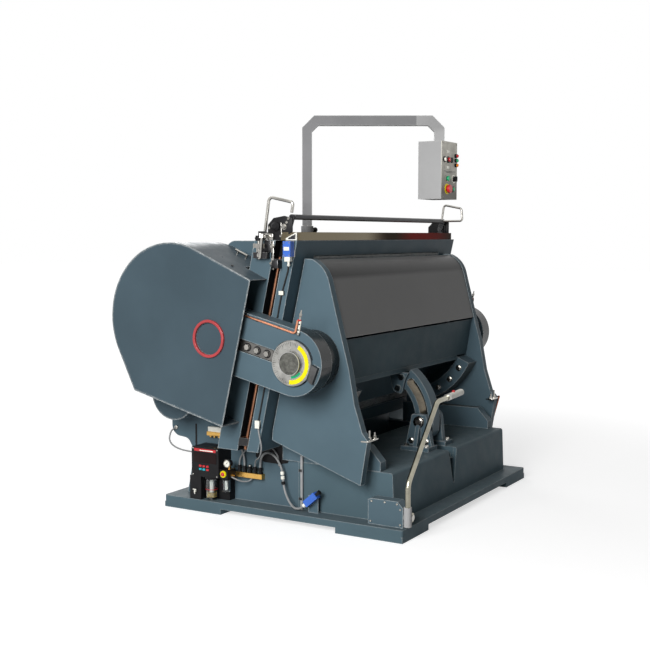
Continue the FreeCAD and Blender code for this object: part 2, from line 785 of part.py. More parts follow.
def cutting_plate():
    return slab(-14.0, -8.0, 560.0, 1370.0, PLATE_INNER - 15.0)


def platen_crossbeam():
    return outline_x(
        [(-345.0, 735.0), (parting(735.0) - 80.0, 735.0), (parting(835.0) - 80.0, 835.0), (-345.0, 835.0)],
        -ROCKER_NEAR_X,
        ROCKER_NEAR_X,
    )


def rocker_segments():
    tread = ring(ROCKER_CENTRE, ROCKER_RADIUS, ROCKER_INNER, -PLATE_INNER, -ROCKER_NEAR_X)
    reach = 900.0
    wedge = [ROCKER_CENTRE, polar(ROCKER_CENTRE, reach, 205.0), polar(ROCKER_CENTRE, reach, 240.0),
             polar(ROCKER_CENTRE, reach, 270.5)]
    return pair(tread.common(outline_x(wedge, -PLATE_INNER, -ROCKER_NEAR_X)))


def trunnions():
    drum = disc(TRUNNION, DRUM_RADIUS, -BAR_INNER + 3.0, -PLATE_OUTER)
    pin = disc(TRUNNION, PIN_RADIUS, -BAR_OUTER - 2.0, -BAR_INNER + 3.0)
    socket = disc(TRUNNION, 30.0 + RUNNING_GAP, -BAR_OUTER - 3.0, -BAR_OUTER + 40.0)
    return pair(drum.fuse(pin).cut(socket))


def guide_arm():
    wall = 54.0
    outer = GUIDE_RADIUS + wall
    inner = GUIDE_RADIUS - wall
    top_angle = 128.0
    tip_angle = 188.0
    reach = 700.0
    sector = [POLE, polar(POLE, reach, top_angle), polar(POLE, reach, 158.0), polar(POLE, reach, tip_angle)]
    arm = ring(POLE, outer, inner, ARM_LEFT, ARM_RIGHT).common(outline_x(sector, ARM_LEFT, ARM_RIGHT))
    arm = arm.fuse(disc(polar(POLE, GUIDE_RADIUS, tip_angle), wall, ARM_LEFT, ARM_RIGHT)).removeSplitter()
    slot_low = GUIDE_ROLLER_ANGLE + 1.5
    slot_high = GUIDE_ROLLER_ANGLE - OPEN_ANGLE - 1.5
    slot_sector = [POLE, polar(POLE, reach, slot_high), polar(POLE, reach, 158.0), polar(POLE, reach, slot_low)]
    slot = ring(POLE, GUIDE_RADIUS + SLOT_HALF, GUIDE_RADIUS - SLOT_HALF, ARM_LEFT - 1.0, ARM_RIGHT + 1.0)
    slot = slot.common(outline_x(slot_sector, ARM_LEFT - 1.0, ARM_RIGHT + 1.0))
    ends = [disc(polar(POLE, GUIDE_RADIUS, a), SLOT_HALF, ARM_LEFT - 1.0, ARM_RIGHT + 1.0) for a in (slot_low, slot_high)]
    return arm.cut(Part.Compound([slot])).cut(ends[0]).cut(ends[1])


def guide_arm_bracket():
    outline = [(-262.0, 735.0), (-288.0, 628.0), (-342.0, 612.0), (-362.0, 692.0), (-384.0, 735.0)]
    cheek = 22.0
    rounds = {1: 12.0, 2: 12.0, 3: 30.0}
    left = outline_x(outline, ARM_LEFT - cheek, ARM_LEFT, rounds)
    right = outline_x(outline, ARM_RIGHT, ARM_RIGHT + cheek, rounds)
    bolts = []
    for centre in ((-342.0, 708.0), (-320.0, 646.0)):
        bolts.append(hexagon(centre, 30.0, ARM_LEFT - cheek - 14.0, ARM_LEFT - cheek))
    return Part.Compound([left.fuse(bolts), right])


# Draw bars and dials

def draw_bar():
    """Left draw bar: eye on the trunnion, body with a keyway, rear eye over the crank."""
    reach = GEAR_DISTANCE + CRANK
    y, z = TRUNNION
    x = -BAR_OUTER
    neck = reach - 260.0

    def at(along, across):
        return vec(x, y + along, z + across)

    half = BAR_HALF_WIDTH
    edges = [
        Part.LineSegment(at(0, half), at(neck, half)).toShape(),
        Part.LineSegment(at(neck, half), at(reach, REAR_EYE)).toShape(),
        Part.Arc(at(reach, REAR_EYE), at(reach + REAR_EYE, 0), at(reach, -REAR_EYE)).toShape(),
        Part.LineSegment(at(reach, -REAR_EYE), at(neck, -half)).toShape(),
        Part.LineSegment(at(neck, -half), at(0, -half)).toShape(),
        Part.Arc(at(0, -half), at(-half, 0), at(0, half)).toShape(),
    ]
    bar = Part.Face(Part.Wire(edges)).extrude(vec(BAR_OUTER - BAR_INNER, 0, 0))
    bar = bar.cut(disc(TRUNNION, PIN_RADIUS + RUNNING_GAP, x - 1.0, -BAR_INNER + 1.0))
    bar = bar.cut(disc((y + reach, z), CRANK_PIN_RADIUS + 0.5, x - 1.0, -BAR_INNER + 1.0))
    bar = bar.cut(block(x - 1.0, x + 12.0, y + 118.0, y + 420.0, z - 30.0, z + 30.0))
    key = block(x + 2.0, x + 12.0, y + 122.0, y + 416.0, z - 26.0, z + 26.0)
    bolts = [hexagon((y + along, z), 26.0, x - 10.0, x + 2.0) for along in (155.0, 215.0, 275.0)]
    pointer = outline_x(
        [(y - 117.0, z + 28.0), (y - 113.0, z - 54.0), (y - 140.0, z - 66.0), (y - 153.0, z + 20.0)], x - 22.0, x
    )
    bar = bar.fuse([key, pointer] + bolts)
    bar.rotate(vec(0, y, z), vec(1, 0, 0), BAR_ANGLE)
    return bar


def dial():
    """Left pressure dial: graduated ring, knurled centre and the spigot it turns on."""
    x = -BAR_OUTER - 3.0
    wheel = disc(TRUNNION, DIAL_RADIUS, x - 16.0, x)
    bevel = [edge for edge in wheel.Edges if abs(edge.BoundBox.XMax - x + 16.0) < 0.01]
    wheel = wheel.makeChamfer(5.0, bevel)
    knob = disc(TRUNNION, 58.0, x - 30.0, x - 16.0)
    spigot = disc(TRUNNION, 30.0, x, -BAR_OUTER + 36.0)
    return wheel.fuse([knob, spigot])


# Bed-top furniture

def bed_brackets():
    solids = []
    for side in (-1, 1):
        ear = outline_x(
            [
                (SAFETY_PIVOT[0] - 16.0, STRIP_TOP),
                (SAFETY_PIVOT[0] + 15.0, STRIP_TOP),
                (SAFETY_PIVOT[0] + 15.0, SAFETY_PIVOT[1] + 16.0),
                (SAFETY_PIVOT[0] - 16.0, SAFETY_PIVOT[1] + 16.0),
            ],
            911.0,
            923.0,
            {2: 14.0, 3: 14.0},
        )
        ear = ear.fuse(disc(SAFETY_PIVOT, 7.0, 894.0, 923.0))
        clamp_y = CLAMP_ROD[1]
        plate = block(BED_HALF_X, CLAMP_ROD[0] + 16.0, clamp_y - 55.0, clamp_y + 25.0, 1388.0, 1418.0)
        lug = block(BED_HALF_X, CLAMP_ROD[0] + 16.0, clamp_y - 20.0, clamp_y + 25.0, 1440.0, 1462.0)
        back = block(BED_HALF_X, BED_HALF_X + 4.0, clamp_y - 55.0, clamp_y + 25.0, 1388.0, 1462.0)
        clamp = plate.fuse([lug, back])
        bore = rod((CLAMP_ROD[0], clamp_y, 1380.0), (CLAMP_ROD[0], clamp_y, 1470.0), 7.0 + RUNNING_GAP)
        clamp = clamp.cut(bore).removeSplitter()
        for piece in (ear, clamp):
            solids.append(piece if side > 0 else mirrored(piece))
    hinge_y, hinge_z = HANDLE_PIVOT
    hinge = block(HANDLE_X - 26.0, HANDLE_X - 14.0, hinge_y - 22.0, hinge_y + 22.0, BED_TOP, hinge_z + 18.0)
    hinge = hinge.fuse(disc(HANDLE_PIVOT, 6.0, HANDLE_X - 14.0, HANDLE_X + 16.0))
    return Part.Compound(solids + [hinge])


def safety_bar():
    tube = disc(SAFETY_BAR, 13.5, -SAFETY_HALF_X, SAFETY_HALF_X)
    lean = [
        (SAFETY_BAR[0] - 14.0, SAFETY_BAR[1] + 14.0),
        (SAFETY_BAR[0] + 16.0, SAFETY_BAR[1] + 14.0),
        (SAFETY_PIVOT[0] + 14.0, SAFETY_PIVOT[1] - 14.0),
        (SAFETY_PIVOT[0] - 16.0, SAFETY_PIVOT[1] - 14.0),
    ]
    arm = outline_x(lean, SAFETY_HALF_X, SAFETY_HALF_X + 12.0, {0: 12.0, 1: 12.0, 2: 12.0, 3: 12.0})
    arm = arm.cut(disc(SAFETY_PIVOT, 7.0 + RUNNING_GAP, 880.0, 930.0))
    x = SAFETY_HALF_X - 12.0
    loop, _ = bent_tube(
        [
            (x, SAFETY_BAR[0], SAFETY_BAR[1] + 8.0),
            (x, -160.0, 1697.0),
            (x, -281.0, 1673.0),
            (x, -287.0, SAFETY_BAR[1] + 1.0),
            (x, SAFETY_BAR[0] - 6.0, SAFETY_BAR[1]),
        ],
        7.0,
        [18.0, 18.0, 16.0],
    )
    return tube.fuse([arm, mirrored(arm), loop])


def chase_handle():
    y, z = HANDLE_PIVOT
    bar, _ = bent_tube(
        [(HANDLE_X, y - 1.5, z + 10.0), (HANDLE_X, -7.0, 1697.0), (HANDLE_X, -150.0, 1667.0), (HANDLE_X, -142.0, 1622.0)],
        8.0,
        [20.0, 16.0],
    )
    eye = ring(HANDLE_PIVOT, 17.0, 6.0 + RUNNING_GAP, HANDLE_X - 11.0, HANDLE_X + 11.0)
    return eye.fuse(bar.cut(disc(HANDLE_PIVOT, 10.0, HANDLE_X - 12.0, HANDLE_X + 12.0)))


def clamp_knob(side):
    x = side * CLAMP_ROD[0]
    y = CLAMP_ROD[1]
    stem = rod((x, y, 1384.0), (x, y, 1476.0), 7.0)
    grip = rod((x, y, 1476.0), (x, y, 1502.0), 17.0)
    flutes = [rod((x + 18.0 * math.cos(a), y + 18.0 * math.sin(a), 1475.0),
                  (x + 18.0 * math.cos(a), y + 18.0 * math.sin(a), 1503.0), 4.0)
              for a in [math.radians(60.0 * i) for i in range(6)]]
    return stem.fuse(grip.cut(flutes))


def pull_rods():
    x = -BED_HALF_X + 27.0
    middle = (ROD_SLOT_NEAR + ROD_SLOT_FAR) / 2.0
    low, high = 396.0, 1395.0
    bar = rod((x, parting(low) + middle, low), (x, parting(high) + middle, high), 9.0)
    blocks = []
    for z in (420.0, 1345.0):
        shape = outline_x(
            [
                (parting(z) + ROD_SLOT_NEAR, z),
                (parting(z + 40.0) + ROD_SLOT_NEAR, z + 40.0),
                (parting(z + 40.0) + ROD_SLOT_FAR, z + 40.0),
                (parting(z) + ROD_SLOT_FAR, z),
            ],
            -BED_HALF_X - 6.0,
            -BED_HALF_X + ROD_SLOT_DEPTH,
        )
        blocks.append(shape)
    return pair(bar.fuse(blocks))


# Switches and lubrication

def top_switch():
    y0 = -194.0
    y1 = -140.0
    plate = block(-BED_HALF_X - 5.0, -BED_HALF_X, y0 + 6.0, y1 + 4.0, 1396.0, BED_TOP)
    body = block(-BED_HALF_X - 37.0, -BED_HALF_X - 5.0, y0 + 10.0, y1, 1398.0, 1474.0)
    head = block(-BED_HALF_X - 33.0, -BED_HALF_X - 9.0, y0 + 16.0, y1 - 6.0, 1374.0, 1398.0)
    bore = rod((-BED_HALF_X - 21.0, -164.0, 1370.0), (-BED_HALF_X - 21.0, -164.0, 1392.0), 6.0 + RUNNING_GAP)
    return plate.fuse([body, head]).removeSplitter().cut(bore)


def top_switch_plunger():
    x = -BED_HALF_X - 21.0
    stem = rod((x, -164.0, 1358.0), (x, -164.0, 1386.0), 6.0)
    tip = Part.makeSphere(8.0, vec(x, -164.0, 1356.0))
    return stem.fuse(tip)


def switch_cable():
    """Lead from the top switch, clipped down the edge of the bed."""
    x = -BED_HALF_X - 4.0
    route = [(x, -150.0, 1396.0), (x, -150.0, 1330.0), (x, -112.0, 1216.0), (x, 32.0, 560.0)]
    lead, _ = bent_tube(route, 4.0, [60.0, 200.0])
    fitting = block(-BED_HALF_X - 18.0, -BED_HALF_X, 20.0, 46.0, 520.0, 560.0)
    clip = block(-BED_HALF_X - 12.0, -BED_HALF_X, -126.0, -98.0, 1206.0, 1226.0)
    return lead.fuse([fitting, clip])


def low_switch():
    tilt = -41.0
    origin = (-185.0, 142.0)
    body = block(-809.0, -773.0, origin[0] - 42.0, origin[0] + 42.0, origin[1] - 18.0, origin[1] + 18.0)
    tail = rod((-791.0, origin[0] + 42.0, origin[1]), (-791.0, origin[0] + 62.0, origin[1]), 12.0)
    nose = rod((-791.0, origin[0] - 66.0, origin[1]), (-791.0, origin[0] - 42.0, origin[1]), 13.0)
    unit = body.fuse([tail, nose])
    unit.rotate(vec(0, origin[0], origin[1]), vec(1, 0, 0), tilt)
    plate = block(-773.0, -767.0, origin[0] - 30.0, origin[0] + 30.0, FLANGE_TOP, origin[1] + 14.0)
    foot = block(-773.0, -745.0, origin[0] - 30.0, origin[0] + 30.0, FLANGE_TOP, FLANGE_TOP + 6.0)
    return unit.fuse([plate, foot]).removeSplitter()


def lube_pump():
    upper = outline_x([(370.0, 195.0), (550.0, 195.0), (550.0, 358.0), (370.0, 358.0)], -842.0, -WALL_OUTER,
                      {0: 10.0, 1: 10.0, 2: 10.0, 3: 10.0})
    tank = block(-775.0, -WALL_OUTER, 345.0, 565.0, FLANGE_TOP, 195.0)
    foot = block(-840.0, -775.0, 490.0, 565.0, FLANGE_TOP, 195.0)
    head = block(-832.0, -760.0, 318.0, 370.0, 196.0, 244.0)
    gauge_neck = rod((-796.0, 332.0, 244.0), (-796.0, 332.0, 262.0), 6.0)
    gauge = rod((-818.0, 332.0, 278.0), (-790.0, 332.0, 278.0), 20.5)
    return upper.fuse([tank, foot, head, gauge_neck, gauge]).removeSplitter()


def lube_reservoir():
    bowl = rod((-810.0, 440.0, 80.0), (-810.0, 440.0, 195.0), 33.0)
    bowl = bowl.cut(rod((-810.0, 440.0, 84.0), (-810.0, 440.0, 196.0), 29.0))
    cup = rod((-798.0, 350.0, 120.0), (-798.0, 350.0, 196.0), 21.0)
    cup = cup.cut(rod((-798.0, 350.0, 124.0), (-798.0, 350.0, 197.0), 18.0))
    return Part.Compound([bowl, cup])


def oil_manifold():
    bar = block(-757.0, -WALL_OUTER, 148.0, 318.0, 200.0, 226.0)
    fittings = [rod((-744.0, 165.0 + 34.0 * i, 226.0), (-744.0, 165.0 + 34.0 * i, 262.0), 9.0) for i in range(5)]
    elbow = block(-757.0, -WALL_OUTER, 303.0, 329.0, 540.0, 568.0)
    return Part.Compound([bar.fuse(fittings), elbow])


HOSE_DIAMETER = 12.0

HOSE_FROM_COVER = [
    (-744.0, 267.0, 262.0),
    (-744.0, 267.0, 300.0),
    (-746.0, 280.0, 345.0),
    (-748.0, 308.0, 392.0),
    (-748.0, 320.0, 444.0),
    (-746.0, 317.0, 496.0),
    (-746.0, 317.0, 540.0),
]

HOSE_TO_SWITCH = [
    (-744.0, 165.0, 262.0),
    (-744.0, 165.0, 292.0),
    (-746.0, 150.0, 330.0),
    (-750.0, 118.0, 352.0),
    (-754.0, 78.0, 345.0),
    (-757.0, 44.0, 318.0),
    (-758.0, 22.0, 282.0),
    (-758.0, 12.0, 244.0),
    (-760.0, 8.0, 204.0),
    (-764.0, -2.0, 166.0),
    (-772.0, -22.0, 130.0),
    (-780.0, -50.0, 98.0),
    (-787.0, -84.0, 78.0),
    (-791.0, -114.0, 80.2),
    (-791.0, -138.2, 101.3),
]


def hose_from_cover():
    return hose("hose_from_cover", HOSE_FROM_COVER, HOSE_DIAMETER)


def hose_to_switch():
    return hose("hose_to_switch", HOSE_TO_SWITCH, HOSE_DIAMETER)


# Hand lever

def lever_box():
    outline = [(-720.0, FLANGE_TOP), (-525.0, FLANGE_TOP), (-525.0, 190.0), (-545.0, 197.0), (-690.0, 197.0), (-720.0, 165.0)]
    body = outline_x(outline, -806.0, -PEDESTAL_HALF_X)
    bore = rod((LEVER_PIVOT[0] + 25.0, -721.0, LEVER_PIVOT[1]), (LEVER_PIVOT[0] + 25.0, -660.0, LEVER_PIVOT[1]), 12.0 + RUNNING_GAP)
    return body.cut(bore)


def clutch_lever():
    x, z = LEVER_PIVOT
    pivot_x = x + 25.0
    tube, _ = bent_tube(
        [(x, LEVER_Y, 92.0), (x, LEVER_Y, 290.0), (-474.0, LEVER_Y, 654.0), (GRIP_START[0], LEVER_Y, GRIP_START[1])],
        LEVER_TUBE_RADIUS,
        [90.0, 60.0],
    )
    socket = rod((x, LEVER_Y, 78.0), (x, LEVER_Y, 175.0), 20.0)
    boss = rod((pivot_x, LEVER_Y - 12.0, z), (pivot_x, -721.0, z), 24.0)
    shaft = rod((pivot_x, -721.0, z), (pivot_x, -666.0, z), 12.0)
    return socket.fuse([tube, boss, shaft]).removeSplitter()


def lever_axis_grip():
    """Ends of the grip on the lever's upper run."""
    return (GRIP_START[0], LEVER_Y, GRIP_START[1]), (GRIP_END[0], LEVER_Y, GRIP_END[1])


def lever_grip():
    start, finish = lever_axis_grip()
    grip = rod(start, finish, 18.0)
    end_edges = [edge for edge in grip.Edges if edge.BoundBox.XMin > finish[0] - 20.0]
    grip = grip.makeFillet(5.0, end_edges)
    axis = vec(*finish).sub(vec(*start)).normalize()
    inner = vec(*finish).sub(axis * 30.0)
    hole = Part.makeCylinder(9.0 + RUNNING_GAP, 40.0, inner, axis)
    return grip.cut(hole)


def lever_button():
    start, finish = lever_axis_grip()
    axis = vec(*finish).sub(vec(*start)).normalize()
    inner = vec(*finish).sub(axis * 20.0)
    stem = Part.makeCylinder(9.0, 34.0, inner, axis)
    edge = [e for e in stem.Edges if e.BoundBox.XMin > finish[0]]
    return stem.makeFillet(4.0, edge)


# Control arm and box

def arm_frame():
    """Square-tube arm in its own plane: outer and inner outline of the inverted U."""
    half = ARM_TUBE / 2.0
    cut = 62.0
    low = BOX_TOP
    wall = 4.0

    def bend(inset):
        left = -half + inset
        right = ARM_REACH + half - inset
        top = ARM_TOP - inset
        inner = ARM_TUBE - 2.0 * inset
        mitre = cut - 0.586 * inset
        slim = inner * 0.414
        return [
            (left, POST_FOOT),
            (left, top - mitre),
            (left + mitre, top),
            (right - mitre, top),
            (right, top - mitre),
            (right, low),
            (right - inner, low),
            (right - inner, top - mitre - slim),
            (right - mitre - slim, top - inner),
            (left + mitre + slim, top - inner),
            (left + inner, top - mitre - slim),
            (left + inner, POST_FOOT),
        ]

    outer = outline_y(bend(0.0), -half, half)
    inside = outline_y(bend(wall), -half + wall, half - wall)
    return outer.cut(inside)


def place_arm(shape):
    shape.rotate(vec(0, 0, 0), vec(0, 0, 1), ARM_PLAN_ANGLE)
    shape.translate(vec(POST[0], POST[1], 0.0))
    return shape


def arm_post():
    reach = 120.0
    keep = block(-100.0, ARM_REACH - reach, -60.0, 60.0, POST_FOOT - 200.0, ARM_TOP + 10.0)
    post = arm_frame().common(keep)
    cap = block(-ARM_TUBE / 2.0, ARM_TUBE / 2.0, -ARM_TUBE / 2.0, ARM_TUBE / 2.0, POST_FOOT - 6.0, POST_FOOT)
    spigot = rod((0, 0, POST_FOOT - 60.0), (0, 0, POST_FOOT - 6.0), 22.0)
    return place_arm(post.fuse([cap, spigot]))


def arm_drop():
    reach = 120.0
    keep = block(ARM_REACH - reach, ARM_REACH + 100.0, -60.0, 60.0, BOX_TOP - 10.0, ARM_TOP + 10.0)
    return place_arm(arm_frame().common(keep))


def arm_socket():
    x, y = POST
    top = POST_FOOT - 8.0
    flange = rod((x, y, BED_TOP), (x, y, BED_TOP + 16.0), SOCKET_RADIUS)
    neck = rod((x, y, BED_TOP + 16.0), (x, y, top), 32.0)
    bolts = [rod((x + 48.0 * math.cos(a), y + 48.0 * math.sin(a), BED_TOP + 16.0),
                 (x + 48.0 * math.cos(a), y + 48.0 * math.sin(a), BED_TOP + 26.0), 8.0)
             for a in [math.radians(45.0 + 90.0 * i) for i in range(4)]]
    bore = rod((x, y, POST_FOOT - 64.0), (x, y, top + 1.0), 22.0 + RUNNING_GAP)
    return flange.fuse([neck] + bolts).cut(bore)


def panel_controls():
    """Places of the panel's controls: X from the panel's middle, Z, and the hole's radius."""
    return {
        "start_button": (-30.0, 1796.0, 9.0),
        "mode_selector": (52.0, 1796.0, 9.0),
        "estop_button": (-30.0, 1742.0, 12.0),
    }


def control_box():
    x, y = BOX_CENTRE
    half_x = BOX_WIDTH / 2.0
    front = PANEL_Y + PANEL_SHEET
    back = y + BOX_BACK
    sheet = 3.0
    outer = outline_z(
        [(x - half_x, front), (x + half_x, front), (x + half_x, back), (x - half_x, back)],
        BOX_BOTTOM,
        BOX_TOP,
        {2: 8.0, 3: 8.0},
    )
    room = block(x - half_x + sheet, x + half_x - sheet, front - 1.0, back - sheet, BOX_BOTTOM + sheet, BOX_TOP - sheet)
    return outer.cut(room)


def control_panel():
    x, _ = BOX_CENTRE
    half_x = BOX_WIDTH / 2.0
    plate = block(x - half_x, x + half_x, PANEL_Y, PANEL_Y + PANEL_SHEET, BOX_BOTTOM, BOX_TOP)
    pieces = []
    for dx, z, hole in panel_controls().values():
        bore = rod((x + dx, PANEL_Y - 1.0, z), (x + dx, PANEL_Y + PANEL_SHEET + 1.0, z), hole + RUNNING_GAP)
        plate = plate.cut(bore)
    for z in (1916.0, 1892.0, 1868.0):
        pieces.append(rod((x + 70.0, PANEL_Y - 12.0, z), (x + 70.0, PANEL_Y, z), 10.0))
    for dx, z, radius in ((-66.0, 1892.0, 15.0), (-20.0, 1892.0, 17.0), (22.0, 1892.0, 15.0), (38.0, 1742.0, 15.0)):
        pieces.append(rod((x + dx, PANEL_Y - 5.0, z), (x + dx, PANEL_Y, z), radius))
    return plate.fuse(pieces)


def push_button(name, cap_radius, cap_depth, gap):
    dx, z, stem_radius = panel_controls()[name]
    x = BOX_CENTRE[0] + dx
    stem = rod((x, PANEL_Y - gap, z), (x, PANEL_Y + 14.0, z), stem_radius)
    cap = rod((x, PANEL_Y - gap - cap_depth, z), (x, PANEL_Y - gap, z), cap_radius)
    crown = [edge for edge in cap.Edges if abs(edge.BoundBox.YMax - PANEL_Y + gap + cap_depth) < 0.01]
    return stem.fuse(cap.makeFillet(3.0, crown))


def start_button():
    return push_button("start_button", 14.0, 8.0, 6.0)


def estop_button():
    return push_button("estop_button", 21.0, 14.0, 9.0)


def mode_selector():
    knob = push_button("mode_selector", 14.0, 6.0, 1.0)
    dx, z, _ = panel_controls()["mode_selector"]
    x = BOX_CENTRE[0] + dx
    return knob.fuse(block(x - 4.0, x + 4.0, PANEL_Y - 21.0, PANEL_Y - 6.5, z - 13.0, z + 13.0))


def pieces():
    """Every node of the assembly by name."""
    return {
        "base": base(),
        "frame_walls": frame_walls(),
        "shaft_bearings": shaft_bearings(),
        "bed": bed(),
        "bed_top_strip": bed_top_strip(),
        "die_chase": die_chase(),
        "tie_beams": tie_beams(),
        "rocker_rails": rocker_rails(),
        "roller_bracket": roller_bracket(),
        "guide_roller": guide_roller(),
        "gear_covers": gear_covers(),
        "inspection_rings": inspection_rings(),
        "bull_gears": bull_gears(),
        "main_shaft": main_shaft(),
        "drive_shaft": drive_shaft(),
        "flywheel": flywheel(),
        "motor": motor(),
        "motor_pulley": motor_pulley(),
        "drive_belt": drive_belt(),
        "platen_plate": platen_plate(),
        "platen_side_plates": platen_side_plates(),
        "platen_cover": platen_cover(),
        "platen_lower_panel": platen_lower_panel(),
        "platen_crossbeam": platen_crossbeam(),
        "cutting_plate": cutting_plate(),
        "rocker_segments": rocker_segments(),
        "trunnions": trunnions(),
        "guide_arm": guide_arm(),
        "guide_arm_bracket": guide_arm_bracket(),
        "left_draw_bar": draw_bar(),
        "right_draw_bar": mirrored(draw_bar()),
        "left_dial": dial(),
        "right_dial": mirrored(dial()),
        "bed_brackets": bed_brackets(),
        "safety_bar": safety_bar(),
        "chase_handle": chase_handle(),
        "left_clamp_knob": clamp_knob(-1),
        "right_clamp_knob": clamp_knob(1),
        "pull_rods": pull_rods(),
        "top_switch": top_switch(),
        "top_switch_plunger": top_switch_plunger(),
        "switch_cable": switch_cable(),
        "low_switch": low_switch(),
        "lube_pump": lube_pump(),
        "lube_reservoir": lube_reservoir(),
        "oil_manifold": oil_manifold(),
        "hose_from_cover": hose_from_cover(),
        "hose_to_switch": hose_to_switch(),
        "lever_box": lever_box(),
        "clutch_lever": clutch_lever(),
        "lever_grip": lever_grip(),
        "lever_button": lever_button(),
        "arm_socket": arm_socket(),
        "arm_post": arm_post(),
        "arm_drop": arm_drop(),
        "control_box": control_box(),
        "control_panel": control_panel(),
        "start_button": start_button(),
        "estop_button": estop_button(),
        "mode_selector": mode_selector(),
    }


def main():
    os.makedirs("parts", exist_ok=True)
    for name, shape in pieces().items():
        shape.translate(vec(0.0, DEPTH_SHIFT, 0.0))
        shape.exportStep("parts/" + name + ".step")


if __name__ == "__main__":
    main()
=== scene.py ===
"""Looks of a platen die-cutting and creasing press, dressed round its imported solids.

Places are in drawing millimetres, whose Y zero is the middle of the base. spot() turns them
into metres.
"""

import math

import bmesh
import bpy
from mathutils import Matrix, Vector


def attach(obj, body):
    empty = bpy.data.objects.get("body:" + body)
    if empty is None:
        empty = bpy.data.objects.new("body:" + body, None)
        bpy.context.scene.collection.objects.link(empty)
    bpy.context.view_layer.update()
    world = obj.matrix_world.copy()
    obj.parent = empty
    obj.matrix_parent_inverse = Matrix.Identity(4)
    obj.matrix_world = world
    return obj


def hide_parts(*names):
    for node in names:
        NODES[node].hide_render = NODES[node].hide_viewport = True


bl_info = {
    "name": "Platen Press Looks",
    "version": (1, 0, 0),
    "blender": (4, 5, 0),
    "location": "View3D > Sidebar > Press",
    "description": "Finishes and trim of a platen die-cutting press",
    "category": "Object",
}

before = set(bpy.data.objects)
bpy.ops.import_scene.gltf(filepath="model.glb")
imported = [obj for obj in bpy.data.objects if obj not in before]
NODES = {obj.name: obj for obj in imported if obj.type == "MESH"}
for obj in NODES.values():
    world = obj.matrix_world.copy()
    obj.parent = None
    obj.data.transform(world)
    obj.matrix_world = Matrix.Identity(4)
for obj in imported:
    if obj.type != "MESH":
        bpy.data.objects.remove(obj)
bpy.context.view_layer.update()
MM = 0.001
DEPTH_SHIFT = -54.5
SHARP_ANGLE = math.radians(32.0)
UP, LEFT, FRONT = (0, 0, 1), (-1, 0, 0), (0, -1, 0)

# Places that several pieces share, in drawing millimetres. Pairs are Y and Z, or X and Y for the bowls
TRUNNION = (-242, 882)
BAR_ANGLE = 13.5
BAR_FACE = 1060
KEY_BOLTS = (155, 215, 275)
DIAL_FACE = 1079
DIAL_KNOB_FACE = 1093
DRIVE = (625.4, 648.8)
ROLLER = (-474.8, 472.8)
ROCKER_CENTRE = (0, 912)
GUIDE_POLE = (-163, 463)
PARTING = (-95, 1000)
PARTING_SLOPE = 0.2217
COVER_SLOPE = (0, -0.4, 0.9)
WALL_FACE = -724.5
MANIFOLD_X = -744
PANEL_X = -299.8
PANEL_Y = -724.9
PUMP_FACE = -842
GAUGE_X = -818
GAUGE = (332, 278)
BIG_BOWL = (-810, 440)
SMALL_BOWL = (-798, 350)

# Heights in metres of a band of painted shade on the platen sheet's bend: where it darkens, and where it
# clears again
PLATEN_PAINTED_SHADE = (1.272, 1.302, 1.355, 1.382)

DUST = (0.26, 0.26, 0.25)
# Pale edges of bare metal, rubbed bright and also a painted highlight
BRIGHT_EDGE = (0.75, 0.75, 0.73)

# Camera of the photograph: its place in metres, and the way that it faces
EYE = (-5.487, -3.1015, 1.5)
LOOK = (0.8576, 0.5078, -0.0821)

HOSE_FROM_COVER = [
    (-744, 267, 262),
    (-744, 267, 300),
    (-746, 280, 345),
    (-748, 308, 392),
    (-748, 320, 444),
    (-746, 317, 496),
    (-746, 317, 540),
]
HOSE_TO_SWITCH = [
    (-744, 165, 262),
    (-744, 165, 292),
    (-746, 150.6, 330.2),
    (-750, 117.7, 351.2),
    (-754, 77.9, 345.6),
    (-757, 44, 318),
    (-758, 22, 282),
    (-758, 12, 244),
    (-760, 8, 204),
    (-764, -2, 166),
    (-772, -22, 130),
    (-780, -49.7, 96.5),
    (-787, -81.5, 78.2),
    (-791, -117.5, 83.3),
    (-791, -138.2, 101.3),
]


def spot(x, y, z):
    """Point in metres in the shared frame, from drawing millimetres."""
    return Vector((x, y + DEPTH_SHIFT, z)) * MM


def polar(centre, radius, degrees):
    a = math.radians(degrees)
    return (centre[0] + radius * math.cos(a), centre[1] + radius * math.sin(a))


def reach(place, centre):
    """Distance of a place from a centre in the Y-Z plane."""
    return math.hypot(place.y - centre[0], place.z - centre[1])


def colour_prop(name, description, default):
    return bpy.props.FloatVectorProperty(
        name=name, description=description, default=default, size=3, min=0.0, max=1.0, subtype="COLOR"
    )


def length_prop(name, description, default):
    return bpy.props.FloatProperty(
        name=name, description=description, default=default, min=0.0, subtype="DISTANCE", unit="LENGTH"
    )


